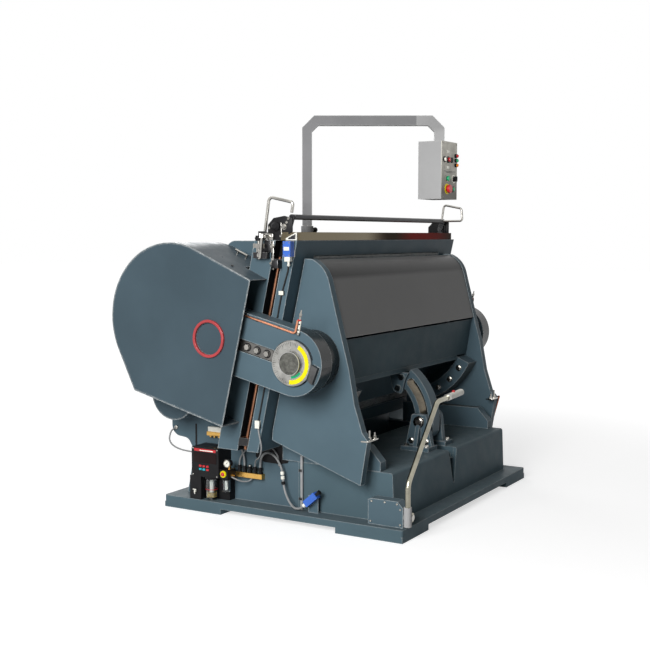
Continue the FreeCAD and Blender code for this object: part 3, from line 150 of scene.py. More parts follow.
class PressColours(bpy.types.PropertyGroup):
    """Colours of the press's finishes."""

    slate: colour_prop("Slate enamel", "Walls, bed, bars and side plates", (0.084, 0.13, 0.158))
    casting: colour_prop("Casting enamel", "Base and pedestal", (0.076, 0.12, 0.142))
    hood: colour_prop("Hood enamel", "Sheet-metal gear covers", (0.06, 0.09, 0.11))
    platen: colour_prop("Platen enamel", "Curved sheet over the platen", (0.187, 0.187, 0.184))
    arm: colour_prop("Arm enamel", "Tube of the control arm", (0.23, 0.23, 0.235))
    box: colour_prop("Box enamel", "Control box", (0.39, 0.39, 0.39))
    panel: colour_prop("Panel enamel", "Face of the control box", (0.66, 0.64, 0.57))
    # The pale edge colour is partly rubbed paint and partly a painted highlight
    worn_and_highlit: colour_prop("Worn and highlit edge", "Paint rubbed along sharp edges, and painted highlight there", (0.7, 0.71, 0.69))
    steel: colour_prop("Steel", "Ground and machined steel", (0.5, 0.5, 0.49))
    # The chrome's dull, warm tint is partly a painted reflection of its dark surroundings
    chrome: colour_prop("Chrome", "Plated handles and nuts", (0.5, 0.485, 0.45))
    brass: colour_prop("Brass", "Oil fittings", (0.72, 0.43, 0.12))
    copper: colour_prop("Copper", "Oil pipes", (0.75, 0.33, 0.2))
    red: colour_prop("Red", "Inspection rings and stop button", (0.55, 0.02, 0.025))
    green: colour_prop("Green", "Start button and lamp", (0.0, 0.36, 0.14))
    amber: colour_prop("Amber", "Amber lamp", (0.9, 0.25, 0.01))
    yellow: colour_prop("Yellow", "Dial arc and stop plate", (0.85, 0.72, 0.0))
    blue: colour_prop("Blue", "Switch bodies", (0.05, 0.15, 0.58))
    ivory: colour_prop("Ivory", "Lever grip and switch heads", (0.86, 0.85, 0.76))
    black: colour_prop("Black", "Moulded black plastic", (0.012, 0.012, 0.013))
    hose: colour_prop("Hose", "Oil hoses and leads", (0.27, 0.275, 0.275))


class PressSizes(bpy.types.PropertyGroup):
    """Sizes of the press's trim."""

    hose: length_prop("Hose diameter", "Outside of the two oil hoses", 0.012)
    oil_pipe: length_prop("Oil pipe diameter", "Outside of the rigid oil pipes", 0.008)
    bar_pipe: length_prop("Bar pipe diameter", "Outside of the copper pipes on the draw bars", 0.012)
    # The pale edge band is rubbed paint and also a painted highlight
    edge: length_prop("Edge wear and highlight width", "Width of the rubbed and highlit band along edges", 0.008)
    ticks: bpy.props.IntProperty(
        name="Dial ticks", description="Graduations on each dial", default=60, min=12
    )
    lens: bpy.props.FloatProperty(
        name="Lens", description="Focal length of the view, millimetres", default=59.87
    )


def colours():
    return bpy.context.scene.press_colours


def sizes():
    return bpy.context.scene.press_sizes


# Shader groups

def start_group(name, inputs, outputs):
    """Empty shader group from its inputs' defaults and its outputs' names."""
    tree = bpy.data.node_groups.new(name, "ShaderNodeTree")
    for label, value in inputs.items():
        kind = "NodeSocketVector" if isinstance(value, tuple) else "NodeSocketFloat"
        tree.interface.new_socket(label, in_out="INPUT", socket_type=kind).default_value = value
    for label in outputs:
        tree.interface.new_socket(label, in_out="OUTPUT", socket_type="NodeSocketFloat")
    return tree, tree.nodes.new("NodeGroupInput"), tree.nodes.new("NodeGroupOutput")


def feed(tree, values, sockets):
    """Gives sockets their values, which are numbers or other sockets."""
    for value, socket in zip(values, sockets):
        if isinstance(value, bpy.types.NodeSocket):
            tree.links.new(value, socket)
        else:
            socket.default_value = value


def math_node(tree, operation, *values, clamp=False):
    node = tree.nodes.new("ShaderNodeMath")
    node.operation = operation
    node.use_clamp = clamp
    feed(tree, values, node.inputs)
    return node.outputs[0]


def vector_node(tree, operation, *values):
    node = tree.nodes.new("ShaderNodeVectorMath")
    node.operation = operation
    feed(tree, values, node.inputs)
    return node.outputs


def map_range(tree, value, start, stop, low=0.0, high=1.0, kind="LINEAR"):
    """Value that goes from low to high while the given one goes from start to stop."""
    node = tree.nodes.new("ShaderNodeMapRange")
    node.interpolation_type = kind
    labels = ("Value", "From Min", "From Max", "To Min", "To Max")
    feed(tree, (value, start, stop, low, high), [node.inputs[label] for label in labels])
    return node.outputs["Result"]


def noise_node(tree, vector, scale, detail, rough=0.5):
    node = tree.nodes.new("ShaderNodeTexNoise")
    labels = ("Vector", "Scale", "Detail", "Roughness")
    feed(tree, (vector, scale, detail, rough), [node.inputs[label] for label in labels])
    return node.outputs["Fac"]


def object_place(tree):
    return tree.nodes.new("ShaderNodeTexCoord").outputs["Object"]


def edge_wear_and_highlight_group(name):
    """Mask along sharp edges, broken up by noise: paint or metal rubbed bare there, and also a painted
    highlight.
    """
    tree, given, out = start_group(name, {"Width": 0.004, "Amount": 0.6, "Scale": 40.0}, ["Mask"])
    bevel = tree.nodes.new("ShaderNodeBevel")
    bevel.samples = 4
    tree.links.new(given.outputs["Width"], bevel.inputs["Radius"])
    surface = tree.nodes.new("ShaderNodeNewGeometry")
    facing = vector_node(tree, "DOT_PRODUCT", bevel.outputs["Normal"], surface.outputs["Normal"])
    turned = math_node(tree, "SUBTRACT", 1.0, facing["Value"], clamp=True)
    strong = math_node(tree, "MULTIPLY", turned, 5.0, clamp=True)
    chips = noise_node(tree, object_place(tree), given.outputs["Scale"], 4.0)
    patchy = math_node(tree, "MULTIPLY_ADD", chips, 1.4, -0.1)
    broken = math_node(tree, "MULTIPLY", strong, patchy, clamp=True)
    mask = math_node(tree, "MULTIPLY", broken, given.outputs["Amount"], clamp=True)
    tree.links.new(mask, out.inputs["Mask"])
    return tree


def enamel_grain_group(name):
    """Orange peel of sprayed enamel over a casting, with a slow change of tone."""
    inputs = {"Peel": 320.0, "Lumps": 45.0, "Lump Share": 0.4}
    tree, given, out = start_group(name, inputs, ["Height", "Tone", "Smudge"])
    place = object_place(tree)
    peel = noise_node(tree, place, given.outputs["Peel"], 2.0)
    lumps = noise_node(tree, place, given.outputs["Lumps"], 5.0, 0.62)
    raised = math_node(tree, "MULTIPLY", lumps, given.outputs["Lump Share"])
    tree.links.new(math_node(tree, "ADD", peel, raised), out.inputs["Height"])
    tree.links.new(noise_node(tree, place, 2.2, 4.0, 0.55), out.inputs["Tone"])
    tree.links.new(noise_node(tree, place, 14.0, 5.0, 0.6), out.inputs["Smudge"])
    return tree


def dust_group(name):
    """Mask of dust on faces that look up."""
    tree, given, out = start_group(name, {"Amount": 0.3, "Scale": 9.0}, ["Mask"])
    place = tree.nodes.new("ShaderNodeTexCoord")
    split = tree.nodes.new("ShaderNodeSeparateXYZ")
    tree.links.new(place.outputs["Normal"], split.inputs[0])
    up = math_node(tree, "POWER", math_node(tree, "MAXIMUM", split.outputs["Z"], 0.0), 3.0)
    cloud = noise_node(tree, place.outputs["Object"], given.outputs["Scale"], 6.0, 0.65)
    patch = math_node(tree, "MULTIPLY", up, cloud)
    mask = math_node(tree, "MULTIPLY", patch, given.outputs["Amount"], clamp=True)
    tree.links.new(mask, out.inputs["Mask"])
    return tree


def brushed_group(name):
    """Lines of a ground or drawn surface along one axis, with a tarnish noise that some finishes also use
    for painted reflection.
    """
    inputs = {"Stretch": (20.0, 900.0, 900.0), "Tarnish Scale": 12.0}
    tree, given, out = start_group(name, inputs, ["Height", "Tarnish"])
    place = object_place(tree)
    scaled = vector_node(tree, "MULTIPLY", place, given.outputs["Stretch"])
    tree.links.new(noise_node(tree, scaled["Vector"], 1.0, 2.0), out.inputs["Height"])
    tarnish = noise_node(tree, place, given.outputs["Tarnish Scale"], 6.0, 0.65)
    tree.links.new(tarnish, out.inputs["Tarnish"])
    return tree


GROUPS = {
    "rubbed_edges": edge_wear_and_highlight_group,
    "enamel_grain": enamel_grain_group,
    "settled_dust": dust_group,
    "brushed_lines": brushed_group,
}


# Materials

class Finish:
    """A material under construction round one Principled shader."""

    def __init__(self, name):
        self.material = bpy.data.materials.new(name)
        self.material.use_nodes = True
        self.tree = self.material.node_tree
        self.shader = self.tree.nodes["Principled BSDF"]

    def group(self, name, **values):
        """Outputs of a shader group, which is built on its first use."""
        node = self.tree.nodes.new("ShaderNodeGroup")
        node.node_tree = bpy.data.node_groups.get(name) or GROUPS[name](name)
        for label, value in values.items():
            node.inputs[label.replace("_", " ")].default_value = value
        return node.outputs

    def blend(self, share, first, second):
        """Colour that goes from first to second with a share."""
        node = self.tree.nodes.new("ShaderNodeMix")
        node.data_type = "RGBA"
        self.tree.links.new(share, node.inputs["Factor"])
        for socket, value in ((node.inputs["A"], first), (node.inputs["B"], second)):
            if isinstance(value, bpy.types.NodeSocket):
                self.tree.links.new(value, socket)
            else:
                socket.default_value = (*value, 1.0)
        return node.outputs["Result"]

    def ramp(self, axis, start, stop, kind="SMOOTHSTEP"):
        """Mask that rises from start to stop along an axis of the object."""
        split = self.tree.nodes.new("ShaderNodeSeparateXYZ")
        self.tree.links.new(object_place(self.tree), split.inputs[0])
        return map_range(self.tree, split.outputs[axis], start, stop, kind=kind)

    def band(self, axis, low, full, fade, high):
        """Mask that rises between two places on an axis and falls again between two more."""
        return math_node(self.tree, "MULTIPLY", self.ramp(axis, low, full), self.ramp(axis, high, fade))

    def spread(self, value, low, high):
        """Value between 0.3 and 0.7 spread from low to high."""
        return map_range(self.tree, value, 0.3, 0.7, low, high)

    def wire(self, value, label):
        self.tree.links.new(value, self.shader.inputs[label])

    def bump(self, height, strength, distance):
        node = self.tree.nodes.new("ShaderNodeBump")
        node.inputs["Strength"].default_value = strength
        node.inputs["Distance"].default_value = distance
        self.tree.links.new(height, node.inputs["Height"])
        self.tree.links.new(node.outputs["Normal"], self.shader.inputs["Normal"])

    def still(self, **values):
        for label, value in values.items():
            self.shader.inputs[label.replace("_", " ")].default_value = value


def once(make):
    """Makes a material only if there is none of its name yet."""
    def found(name, *given, **values):
        return bpy.data.materials.get(name) or make(name, *given, **values)
    return found


def shade(colour, factor):
    return tuple(min(1.0, c * factor) for c in colour)


@once
def enamel(
    name,
    colour,
    rough=0.38,
    lumps=0.4,
    wear=0.8,
    dust=0.25,
    bump=0.12,
    uneven=1.0,
    gloss=0.08,
    band=1.0,
    bend=None,
):
    """Sprayed enamel with orange peel, some dust, and pale edges that are rubbed paint and a painted
    highlight; it can carry a band of painted shade between given heights.
    """
    made = Finish(name)
    grain = made.group("enamel_grain", Lump_Share=lumps)
    # Pale edges are rubbed paint and also a painted highlight
    edge = made.group("rubbed_edges", Width=sizes().edge * band, Amount=wear)
    dirt = made.group("settled_dust", Amount=dust)
    tone = made.spread(grain["Tone"], 0.0, 1.0)
    paint = made.blend(tone, shade(colour, 1.0 - 0.12 * uneven), shade(colour, 1.0 + 0.1 * uneven))
    # Painted shade: a band between given heights darkened to a fifth of the colour
    if bend:
        paint = made.blend(made.band("Z", *bend), paint, shade(colour, 0.2))
    dusty = made.blend(dirt["Mask"], paint, DUST)
    made.wire(made.blend(edge["Mask"], dusty, tuple(colours().worn_and_highlit)), "Base Color")
    made.wire(made.spread(grain["Smudge"], rough - 0.06 * uneven, rough + 0.1 * uneven), "Roughness")
    made.bump(grain["Height"], bump, 0.0012)
    made.still(Specular_IOR_Level=gloss)
    return made.material


@once
def metal(name, colour, rough=0.25, stretch=(20.0, 900.0, 900.0), tarnish=0.35, dark=0.55, wear=0.0):
    """Bare metal with fine lines along one axis and patchy dark tarnish, which on plated parts is also a
    painted reflection.
    """
    made = Finish(name)
    lines = made.group("brushed_lines", Stretch=stretch)
    patch = made.spread(lines["Tarnish"], 0.0, tarnish)
    base = made.blend(patch, colour, shade(colour, dark))
    # Pale edges are rubbed metal and also a painted highlight
    if wear:
        edge = made.group("rubbed_edges", Width=0.003, Amount=wear)
        base = made.blend(edge["Mask"], base, BRIGHT_EDGE)
    made.wire(base, "Base Color")
    made.wire(made.spread(lines["Height"], rough * 0.75, rough * 1.35), "Roughness")
    made.bump(lines["Height"], 0.08, 0.0004)
    made.still(Metallic=1.0)
    return made.material


@once
def plastic(name, colour, rough=0.35, grain=900.0, bump=0.15, coat=0.0, gloss=0.3):
    """Moulded plastic or rubber with a fine texture and handling marks."""
    made = Finish(name)
    skin = made.group("enamel_grain", Peel=grain, Lumps=160.0, Lump_Share=0.3)
    handled = made.spread(skin["Smudge"], 0.0, 1.0)
    made.wire(made.blend(handled, shade(colour, 0.86), shade(colour, 1.08)), "Base Color")
    made.wire(made.spread(skin["Smudge"], rough * 0.8, rough * 1.25), "Roughness")
    made.bump(skin["Height"], bump, 0.0004)
    made.still(Coat_Weight=coat, Coat_Roughness=0.08, Specular_IOR_Level=gloss)
    return made.material


@once
def clear_plastic(name, tint, rough=0.06):
    """Clear moulded plastic with faint scratches."""
    made = Finish(name)
    skin = made.group("enamel_grain", Peel=700.0, Lumps=60.0)
    made.wire(made.blend(skin["Tone"], shade(tint, 0.93), tint), "Base Color")
    made.bump(skin["Height"], 0.05, 0.0003)
    made.still(Transmission_Weight=1.0, IOR=1.45, Roughness=rough)
    return made.material


@once
def knurled(name, colour):
    """Dark centre of a dial: a diamond knurl under oil and handling marks."""
    made = Finish(name)
    marks = made.group("brushed_lines", Stretch=(300.0, 300.0, 300.0), Tarnish_Scale=60.0)
    oiled = made.spread(marks["Tarnish"], 0.0, 1.0)
    made.wire(made.blend(oiled, shade(colour, 0.4), shade(colour, 1.7)), "Base Color")
    made.wire(made.spread(marks["Height"], 0.35, 0.6), "Roughness")
    made.bump(marks["Height"], 0.5, 0.002)
    made.still(Metallic=0.8)
    return made.material


@once
def lacquered_strip(name):
    """Polished strip, bare and tan on its left half, dark to the right, with red streaks of painted
    reflection on the right.
    """
    made = Finish(name)
    lines = made.group("brushed_lines", Stretch=(4.0, 120.0, 120.0), Tarnish_Scale=4.0)
    bare = made.ramp("X", 0.05, -0.25)
    # Painted reflection: red streaks on the strip's right half
    painted_reflection_streaks = made.spread(lines["Tarnish"], 0.6, 1.0)
    red = math_node(made.tree, "MULTIPLY", made.band("X", 0.1, 0.42, 0.6, 0.95), painted_reflection_streaks)
    plain = made.blend(bare, (0.06, 0.035, 0.016), (0.14, 0.117, 0.075))
    made.wire(made.blend(red, plain, (0.5, 0.012, 0.007)), "Base Color")
    made.wire(bare, "Metallic")
    made.wire(made.spread(lines["Height"], 0.12, 0.24), "Roughness")
    made.bump(lines["Height"], 0.06, 0.0004)
    made.still(Specular_IOR_Level=0.015)
    return made.material


@once
def panel_face(name):
    """Panel enamel, pale at its top and dark round the stop button."""
    made = Finish(name)
    pale = tuple(colours().panel)
    grain = made.group("enamel_grain", Lump_Share=0.1)
    tint = made.blend(made.ramp("Z", 1.72, 1.88, kind="LINEAR"), shade(pale, 0.2), pale)
    made.wire(made.blend(made.spread(grain["Smudge"], 0.0, 0.5), tint, shade(pale, 0.35)), "Base Color")
    made.wire(made.spread(grain["Smudge"], 0.35, 0.5), "Roughness")
    made.bump(grain["Height"], 0.06, 0.0012)
    made.still(Specular_IOR_Level=0.16)
    return made.material


def recipe(make, name, colour, tone=1.0, **values):
    """Function that gives one finish. Its colour is its own, or the name of one of the press's."""
    def finish():
        own = getattr(colours(), colour) if isinstance(colour, str) else colour
        return make(name, shade(own, tone), **values)
    return finish


paint_slate = recipe(enamel, "slate_enamel", "slate")
paint_casting = recipe(
    enamel, "casting_enamel", "casting",
    rough=0.45, lumps=0.8, wear=0.4, dust=0.35, bump=0.2, gloss=0.07,
)
# The platen's lower panel is duller and sees little wear; its colour is the casting enamel darkened as
# painted shade
paint_casting_in_painted_shade = recipe(
    enamel, "shaded_enamel", "casting",
    tone=0.8, rough=0.45, lumps=0.2, wear=0.3, bump=0.06, gloss=0.05,
)
# The wide pale edge band of the covers is wear and also a painted highlight
paint_hood = recipe(
    enamel, "hood_enamel", "hood",
    rough=0.33, lumps=0.15, wear=1.0, bump=0.08, band=1.5,
)
# The platen sheet carries a band of painted shade along its bend
paint_platen = recipe(
    enamel, "platen_enamel", "platen",
    rough=0.3, lumps=0.0, wear=0.6, dust=0.05, bump=0.03, uneven=0.3, gloss=0.1, bend=PLATEN_PAINTED_SHADE,
)
paint_arm = recipe(enamel, "arm_enamel", "arm", rough=0.36, lumps=0.1, wear=0.35, bump=0.07)
paint_box = recipe(enamel, "box_enamel", "box", rough=0.36, lumps=0.1, wear=0.35, bump=0.07)
# The drum's pale rubbed rim is also a painted highlight
drum_black = recipe(
    enamel, "drum_enamel", (0.02, 0.024, 0.024),
    rough=0.22, lumps=0.2, wear=0.9, dust=0.1, bump=0.05, gloss=0.3,
)

steel = recipe(metal, "ground_steel", "steel", rough=0.3, tarnish=0.5)
dial_steel = recipe(
    metal, "dial_steel", (0.46, 0.455, 0.43),
    rough=0.34, stretch=(90.0,) * 3, tarnish=0.9, dark=0.4, wear=0.8,
)
oiled_steel = recipe(
    metal, "oiled_steel", (0.2, 0.195, 0.185),
    rough=0.34, tarnish=0.8, dark=0.4, wear=0.4,
)
black_steel = recipe(
    metal, "blackened_steel", (0.045, 0.045, 0.047),
    rough=0.36, tarnish=0.5, wear=0.5,
)
pointer_steel = recipe(
    metal, "pointer_steel", (0.11, 0.11, 0.11),
    rough=0.42, tarnish=0.9, dark=0.4,
)
slot_steel = recipe(metal, "slot_steel", (0.17, 0.14, 0.09), rough=0.32, tarnish=0.9, dark=0.4)
# The chrome's dark patches are tarnish and also a painted reflection
chrome = recipe(
    metal, "chrome_plate", "chrome",
    rough=0.15, stretch=(40.0, 40.0, 400.0), tarnish=0.75, dark=0.3,
)
# The lever's olive tint and dark patches are partly a painted reflection of olive and brown surroundings
lever_plate = recipe(
    metal, "lever_plate", (0.42, 0.4, 0.32),
    rough=0.2, stretch=(60.0,) * 3, tarnish=0.7, dark=0.35,
)
brass = recipe(
    metal, "turned_brass", "brass",
    rough=0.28, stretch=(500.0, 60.0, 500.0), tarnish=0.6,
)
copper = recipe(
    metal, "copper_pipe", "copper",
    rough=0.3, stretch=(300.0, 60.0, 60.0), tarnish=0.7,
)
bronze = recipe(metal, "bushing_bronze", (0.4, 0.25, 0.1), rough=0.35, tarnish=0.6)
rusty_rod = recipe(
    metal, "browned_rod", (0.36, 0.17, 0.1),
    rough=0.42, stretch=(600.0, 600.0, 25.0), tarnish=0.9, dark=0.45,
)

black_plastic = recipe(plastic, "black_moulding", "black", rough=0.4, gloss=0.12)
rubber = recipe(
    plastic, "black_rubber", (0.018, 0.018, 0.018),
    rough=0.7, grain=500.0, bump=0.3,
)
hose_skin = recipe(plastic, "hose_skin", "hose", rough=0.42, grain=1200.0, bump=0.2)
conduit_skin = recipe(
    plastic, "conduit_skin", (0.34, 0.345, 0.345),
    rough=0.4, grain=1200.0, bump=0.2,
)
red_plastic = recipe(plastic, "red_moulding", "red", rough=0.28, coat=0.3)
green_plastic = recipe(plastic, "green_moulding", "green", rough=0.25, coat=0.3)
amber_plastic = recipe(plastic, "amber_moulding", "amber", rough=0.25, coat=0.3)
yellow_plastic = recipe(plastic, "yellow_moulding", "yellow", rough=0.4)
blue_plastic = recipe(plastic, "blue_moulding", "blue", rough=0.36)
ivory_plastic = recipe(plastic, "ivory_moulding", "ivory", rough=0.32, coat=0.2)
cyan_plastic = recipe(plastic, "cyan_key", (0.02, 0.42, 0.5), rough=0.35)
dark_glass = recipe(
    plastic, "display_window", (0.02, 0.012, 0.012),
    rough=0.12, bump=0.02, gloss=0.05,
)


# Mesh building

def round_profile(length, radius, chamfer=1.0):
    """Turned blank with a small chamfer at its far end."""
    return [(0.0, radius), (length - chamfer, radius), (length, radius - chamfer)]


def round_axis(axis, sides):
    """Direction of an axis, and those of a circle's points round it."""
    along = Vector(axis).normalized()
    side = along.orthogonal().normalized()
    other = along.cross(side)
    turns = [2.0 * math.pi * i / sides for i in range(sides)]
    return along, [side * math.cos(a) + other * math.sin(a) for a in turns]


class Trim:
    """A mesh under construction, whose faces take the finish that was last named."""

    def __init__(self, name):
        self.name = name
        self.bm = bmesh.new()
        self.finishes = []
        self.index = 0

    def wear(self, material):
        if material not in self.finishes:
            self.finishes.append(material)
        self.index = self.finishes.index(material)
        return self

    def take(self, part):
        bmesh.ops.recalc_face_normals(part, faces=part.faces)
        for face in part.faces:
            face.material_index = self.index
            face.smooth = True
        scratch = bpy.data.meshes.new("scratch")
        part.to_mesh(scratch)
        part.free()
        self.bm.from_mesh(scratch)
        bpy.data.meshes.remove(scratch)

    @staticmethod
    def soften(part, width):
        """Rounds every edge of a part."""
        edges = part.edges[:]
        bmesh.ops.bevel(part, geom=edges, offset=width * MM, segments=2, affect="EDGES", profile=0.5)

    @staticmethod
    def skin(part, rings, loop=False):
        """Faces over a row of rings, which is a closed loop or has a cap at each end."""
        if not loop:
            part.faces.new(rings[0])
            part.faces.new(rings[-1])
        following = rings[1:] + rings[:1] if loop else rings[1:]
        for first, second in zip(rings, following):
            for i in range(len(first)):
                j = (i + 1) % len(first)
                part.faces.new((first[i], first[j], second[j], second[i]))

    def box(self, low, high, round_edge=1.0):
        """Block between two corners, with rounded edges."""
        part = bmesh.new()
        bmesh.ops.create_cube(part, size=1.0)
        a, b = spot(*low), spot(*high)
        for vert in part.verts:
            vert.co = Vector([a[i] + (vert.co[i] + 0.5) * (b[i] - a[i]) for i in range(3)])
        self.soften(part, round_edge)
        self.take(part)

    def prism(self, outline, x0, x1, round_edge=1.0):
        """Plate with an outline in the Y-Z plane, between two places along X."""
        part = bmesh.new()
        self.skin(part, [[part.verts.new(spot(x, *place)) for place in outline] for x in (x0, x1)])
        self.soften(part, round_edge)
        self.take(part)

    def turned(self, base, axis, profile, sides=28):
        """Round piece from (distance along the axis, radius) pairs, closed at both ends."""
        part = bmesh.new()
        along, spokes = round_axis(axis, sides)
        rings = []
        for distance, radius in profile:
            centre = spot(*base) + along * distance * MM
            rings.append([part.verts.new(centre + spoke * radius * MM) for spoke in spokes])
        self.skin(part, rings)
        self.take(part)

    def hoop(self, base, axis, profile, sides=48):
        """Closed ring from (distance along the axis, radius) corners of its section."""
        part = bmesh.new()
        along, spokes = round_axis(axis, sides)
        rings = []
        for spoke in spokes:
            rings.append([part.verts.new(spot(*base) + (along * d + spoke * r) * MM) for d, r in profile])
        self.skin(part, rings, loop=True)
        self.take(part)

    def arc_plate(self, centre, inner, outer, start, stop, x0, x1, steps=28):
        """Flat piece of a ring in the Y-Z plane."""
        part = bmesh.new()
        rows = []
        for i in range(steps + 1):
            a = start + (stop - start) * i / steps
            near, far = polar(centre, inner, a), polar(centre, outer, a)
            corners = ((x0, near), (x0, far), (x1, far), (x1, near))
            rows.append([part.verts.new(spot(x, *place)) for x, place in corners])
        self.skin(part, rows)
        self.take(part)

    def hex_head(self, base, axis, across, height, washer=True):
        """Hexagon head with its chamfer, on a washer."""
        radius = across / math.sqrt(3.0)
        start = 0.0
        if washer:
            start = 0.18 * height
            wide = radius * 1.25
            self.turned(base, axis, [(0.0, wide), (start * 0.8, wide), (start, radius * 1.2)])
        crown = [(start, radius), (height * 0.85, radius), (height, radius * 0.86)]
        self.turned(base, axis, crown, sides=6)

    def socket_head(self, base, axis, radius, height):
        """Cap screw with a socket in its head."""
        well = radius * 0.5
        head = [(0.0, radius), (height * 0.88, radius), (height, radius * 0.9)]
        self.turned(base, axis, head + [(height, well), (height * 0.4, well)], sides=20)

    def done(self, body, slot=None):
        """Finished object, riding on a body."""
        mesh = bpy.data.meshes.new(self.name)
        self.bm.to_mesh(mesh)
        self.bm.free()
        for material in self.finishes:
            mesh.materials.append(material)
        mesh.set_sharp_from_angle(angle=SHARP_ANGLE)
        made = bpy.data.objects.new(self.name, mesh)
        bpy.context.scene.collection.objects.link(made)
        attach(made, body)
        return made


def pipe(name, route, diameter, material, body):
    """Round tube on one smooth line that a route's points control."""
    curve = bpy.data.curves.new(name, "CURVE")
    curve.dimensions = "3D"
    curve.resolution_u = 10
    curve.bevel_depth = 1.0
    curve.bevel_resolution = 4
    curve.use_fill_caps = True
    line = curve.splines.new("NURBS")
    line.points.add(len(route) - 1)
    for point, place in zip(line.points, route):
        point.co = (*spot(*place), 1.0)
        point.radius = diameter / 2.0
    line.order_u = 3
    line.use_endpoint_u = True
    curve.materials.append(material)
    made = bpy.data.objects.new(name, curve)
    bpy.context.scene.collection.objects.link(made)
    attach(made, body)
    return made


def line_length(made):
    """Length of a curve's own line, in metres."""
    depth = made.data.bevel_depth
    made.data.bevel_depth = 0.0
    mesh = bpy.data.meshes.new_from_object(made)
    made.data.bevel_depth = depth
    ends = [[mesh.vertices[i].co for i in edge.vertices] for edge in mesh.edges]
    total = sum((a - b).length for a, b in ends)
    bpy.data.meshes.remove(mesh)
    return total


def dress(node, material, regions=()):
    """Gives a node its finish, and faces that pass a region's test the region's own finish."""
    mesh = NODES[node].data
    mesh.materials.clear()
    mesh.materials.append(material)
    for other, _ in regions:
        mesh.materials.append(other)
    for face in mesh.polygons:
        face.material_index = 0
        place = face.center / MM
        place.y -= DEPTH_SHIFT
        for number, (_, test) in enumerate(regions, start=1):
            if test(place, face.normal):
                face.material_index = number


def along_bar(place):
    """Place along and across a draw bar, from the trunnion."""
    dy, dz = place.y - TRUNNION[0], place.z - TRUNNION[1]
    a = math.radians(BAR_ANGLE)
    return dy * math.cos(a) + dz * math.sin(a), dz * math.cos(a) - dy * math.sin(a)


def sides():
    """Name and sign of X of each side."""
    return (("left", -1.0), ("right", 1.0))


# Operators

class PRESS_OT_castings(bpy.types.Operator):
    """Paint the base, walls, bed and roller bracket, and fit the bracket's bolts"""

    bl_idname = "press.castings"
    bl_label = "Castings"

    def execute(self, context):
        dress("base", paint_casting())
        dress("frame_walls", paint_slate())
        dress("bed", paint_slate(), [(black_plastic(), self.in_rod_slot)])
        dress("tie_beams", paint_slate())
        dress("shaft_bearings", bronze())
        dress("die_chase", steel())
        dress("rocker_rails", paint_slate(), [(oiled_steel(), lambda p, n: n.z > 0.9)])
        dress("roller_bracket", paint_slate(), [(oiled_steel(), self.is_pin)])
        self.bracket_bolts()
        return {"FINISHED"}

    @staticmethod
    def in_rod_slot(place, normal):
        """Faces of the two slots for the pull rods, which run along the bed's sloping front."""
        behind = place.y - PARTING[0] + PARTING_SLOPE * (place.z - PARTING[1])
        return 894 < abs(place.x) < 949 and 68 < behind < 128

    @staticmethod
    def is_pin(place, normal):
        return reach(place, ROLLER) < 26 and not -124 < place.x < -90

    @staticmethod
    def bracket_bolts():
        bolts = Trim("roller_bracket_bolts").wear(chrome())
        y, z = ROLLER
        bolts.hex_head((-124, y, z), LEFT, 46, 12)
        for dy in (-46, 46):
            bolts.hex_head((-124, y + dy, 366), LEFT, 22, 12)
            bolts.hex_head((-152, y + dy * 1.3, 342), UP, 22, 13)
            bolts.hex_head((122, y + dy * 1.3, 342), UP, 22, 13)
        bolts.done("frame", "polished_steel")


class PRESS_OT_gear_train(bpy.types.Operator):
    """Finish the gear covers and the drive, and fit the covers' windows, latches and screws"""

    bl_idname = "press.gear_train"
    bl_label = "Gear train"

    def execute(self, context):
        dress("gear_covers", paint_hood())
        dress("inspection_rings", plastic("ring_enamel", (0.42, 0.045, 0.05), rough=0.35, coat=0.2))
        dress("bull_gears", oiled_steel())
        dress("main_shaft", steel())
        dress("drive_shaft", oiled_steel())
        dress("flywheel", paint_slate(), [(steel(), self.is_rim)])
        dress("motor", paint_casting())
        dress("motor_pulley", steel())
        dress("drive_belt", rubber())
        self.inspection_windows()
        self.cover_fittings()
        return {"FINISHED"}

    @staticmethod
    def is_rim(place, normal):
        return abs(normal.x) < 0.1 and reach(place, DRIVE) > 190

    @staticmethod
    def inspection_windows():
        """Sight windows behind the rings."""
        disc = [(-5, 88), (-2, 88), (0, 86)]
        for name, sign in sides():
            window = Trim(name + "_sight_window").wear(paint_hood())
            window.turned((sign * 1096, 233, 982), (sign, 0, 0), disc, sides=56)
            window.done("frame", "cover_paint")

    @staticmethod
    def cover_fittings():
        """Latch and screws on the sloping top of each cover."""
        for name, sign in sides():
            latch = Trim(name + "_cover_latch").wear(chrome())
            for y, z in ((208, 1383.4), (262, 1407.1)):
                latch.turned((sign * 806, y, z), COVER_SLOPE, round_profile(15, 6, 1.5), sides=18)
            grip = [(0, 4), (2, 6), (84, 6), (86, 4)]
            latch.turned((sign * 806, 196, 1395), (0, 0.916, 0.402), grip)
            latch.wear(black_steel())
            for x, y, z in ((829, 129, 1348.9), (914, 71, 1323.4), (1040, 129, 1348.9)):
                latch.socket_head((sign * x, y, z), COVER_SLOPE, 7, 6)
            latch.done("frame", "polished_steel")


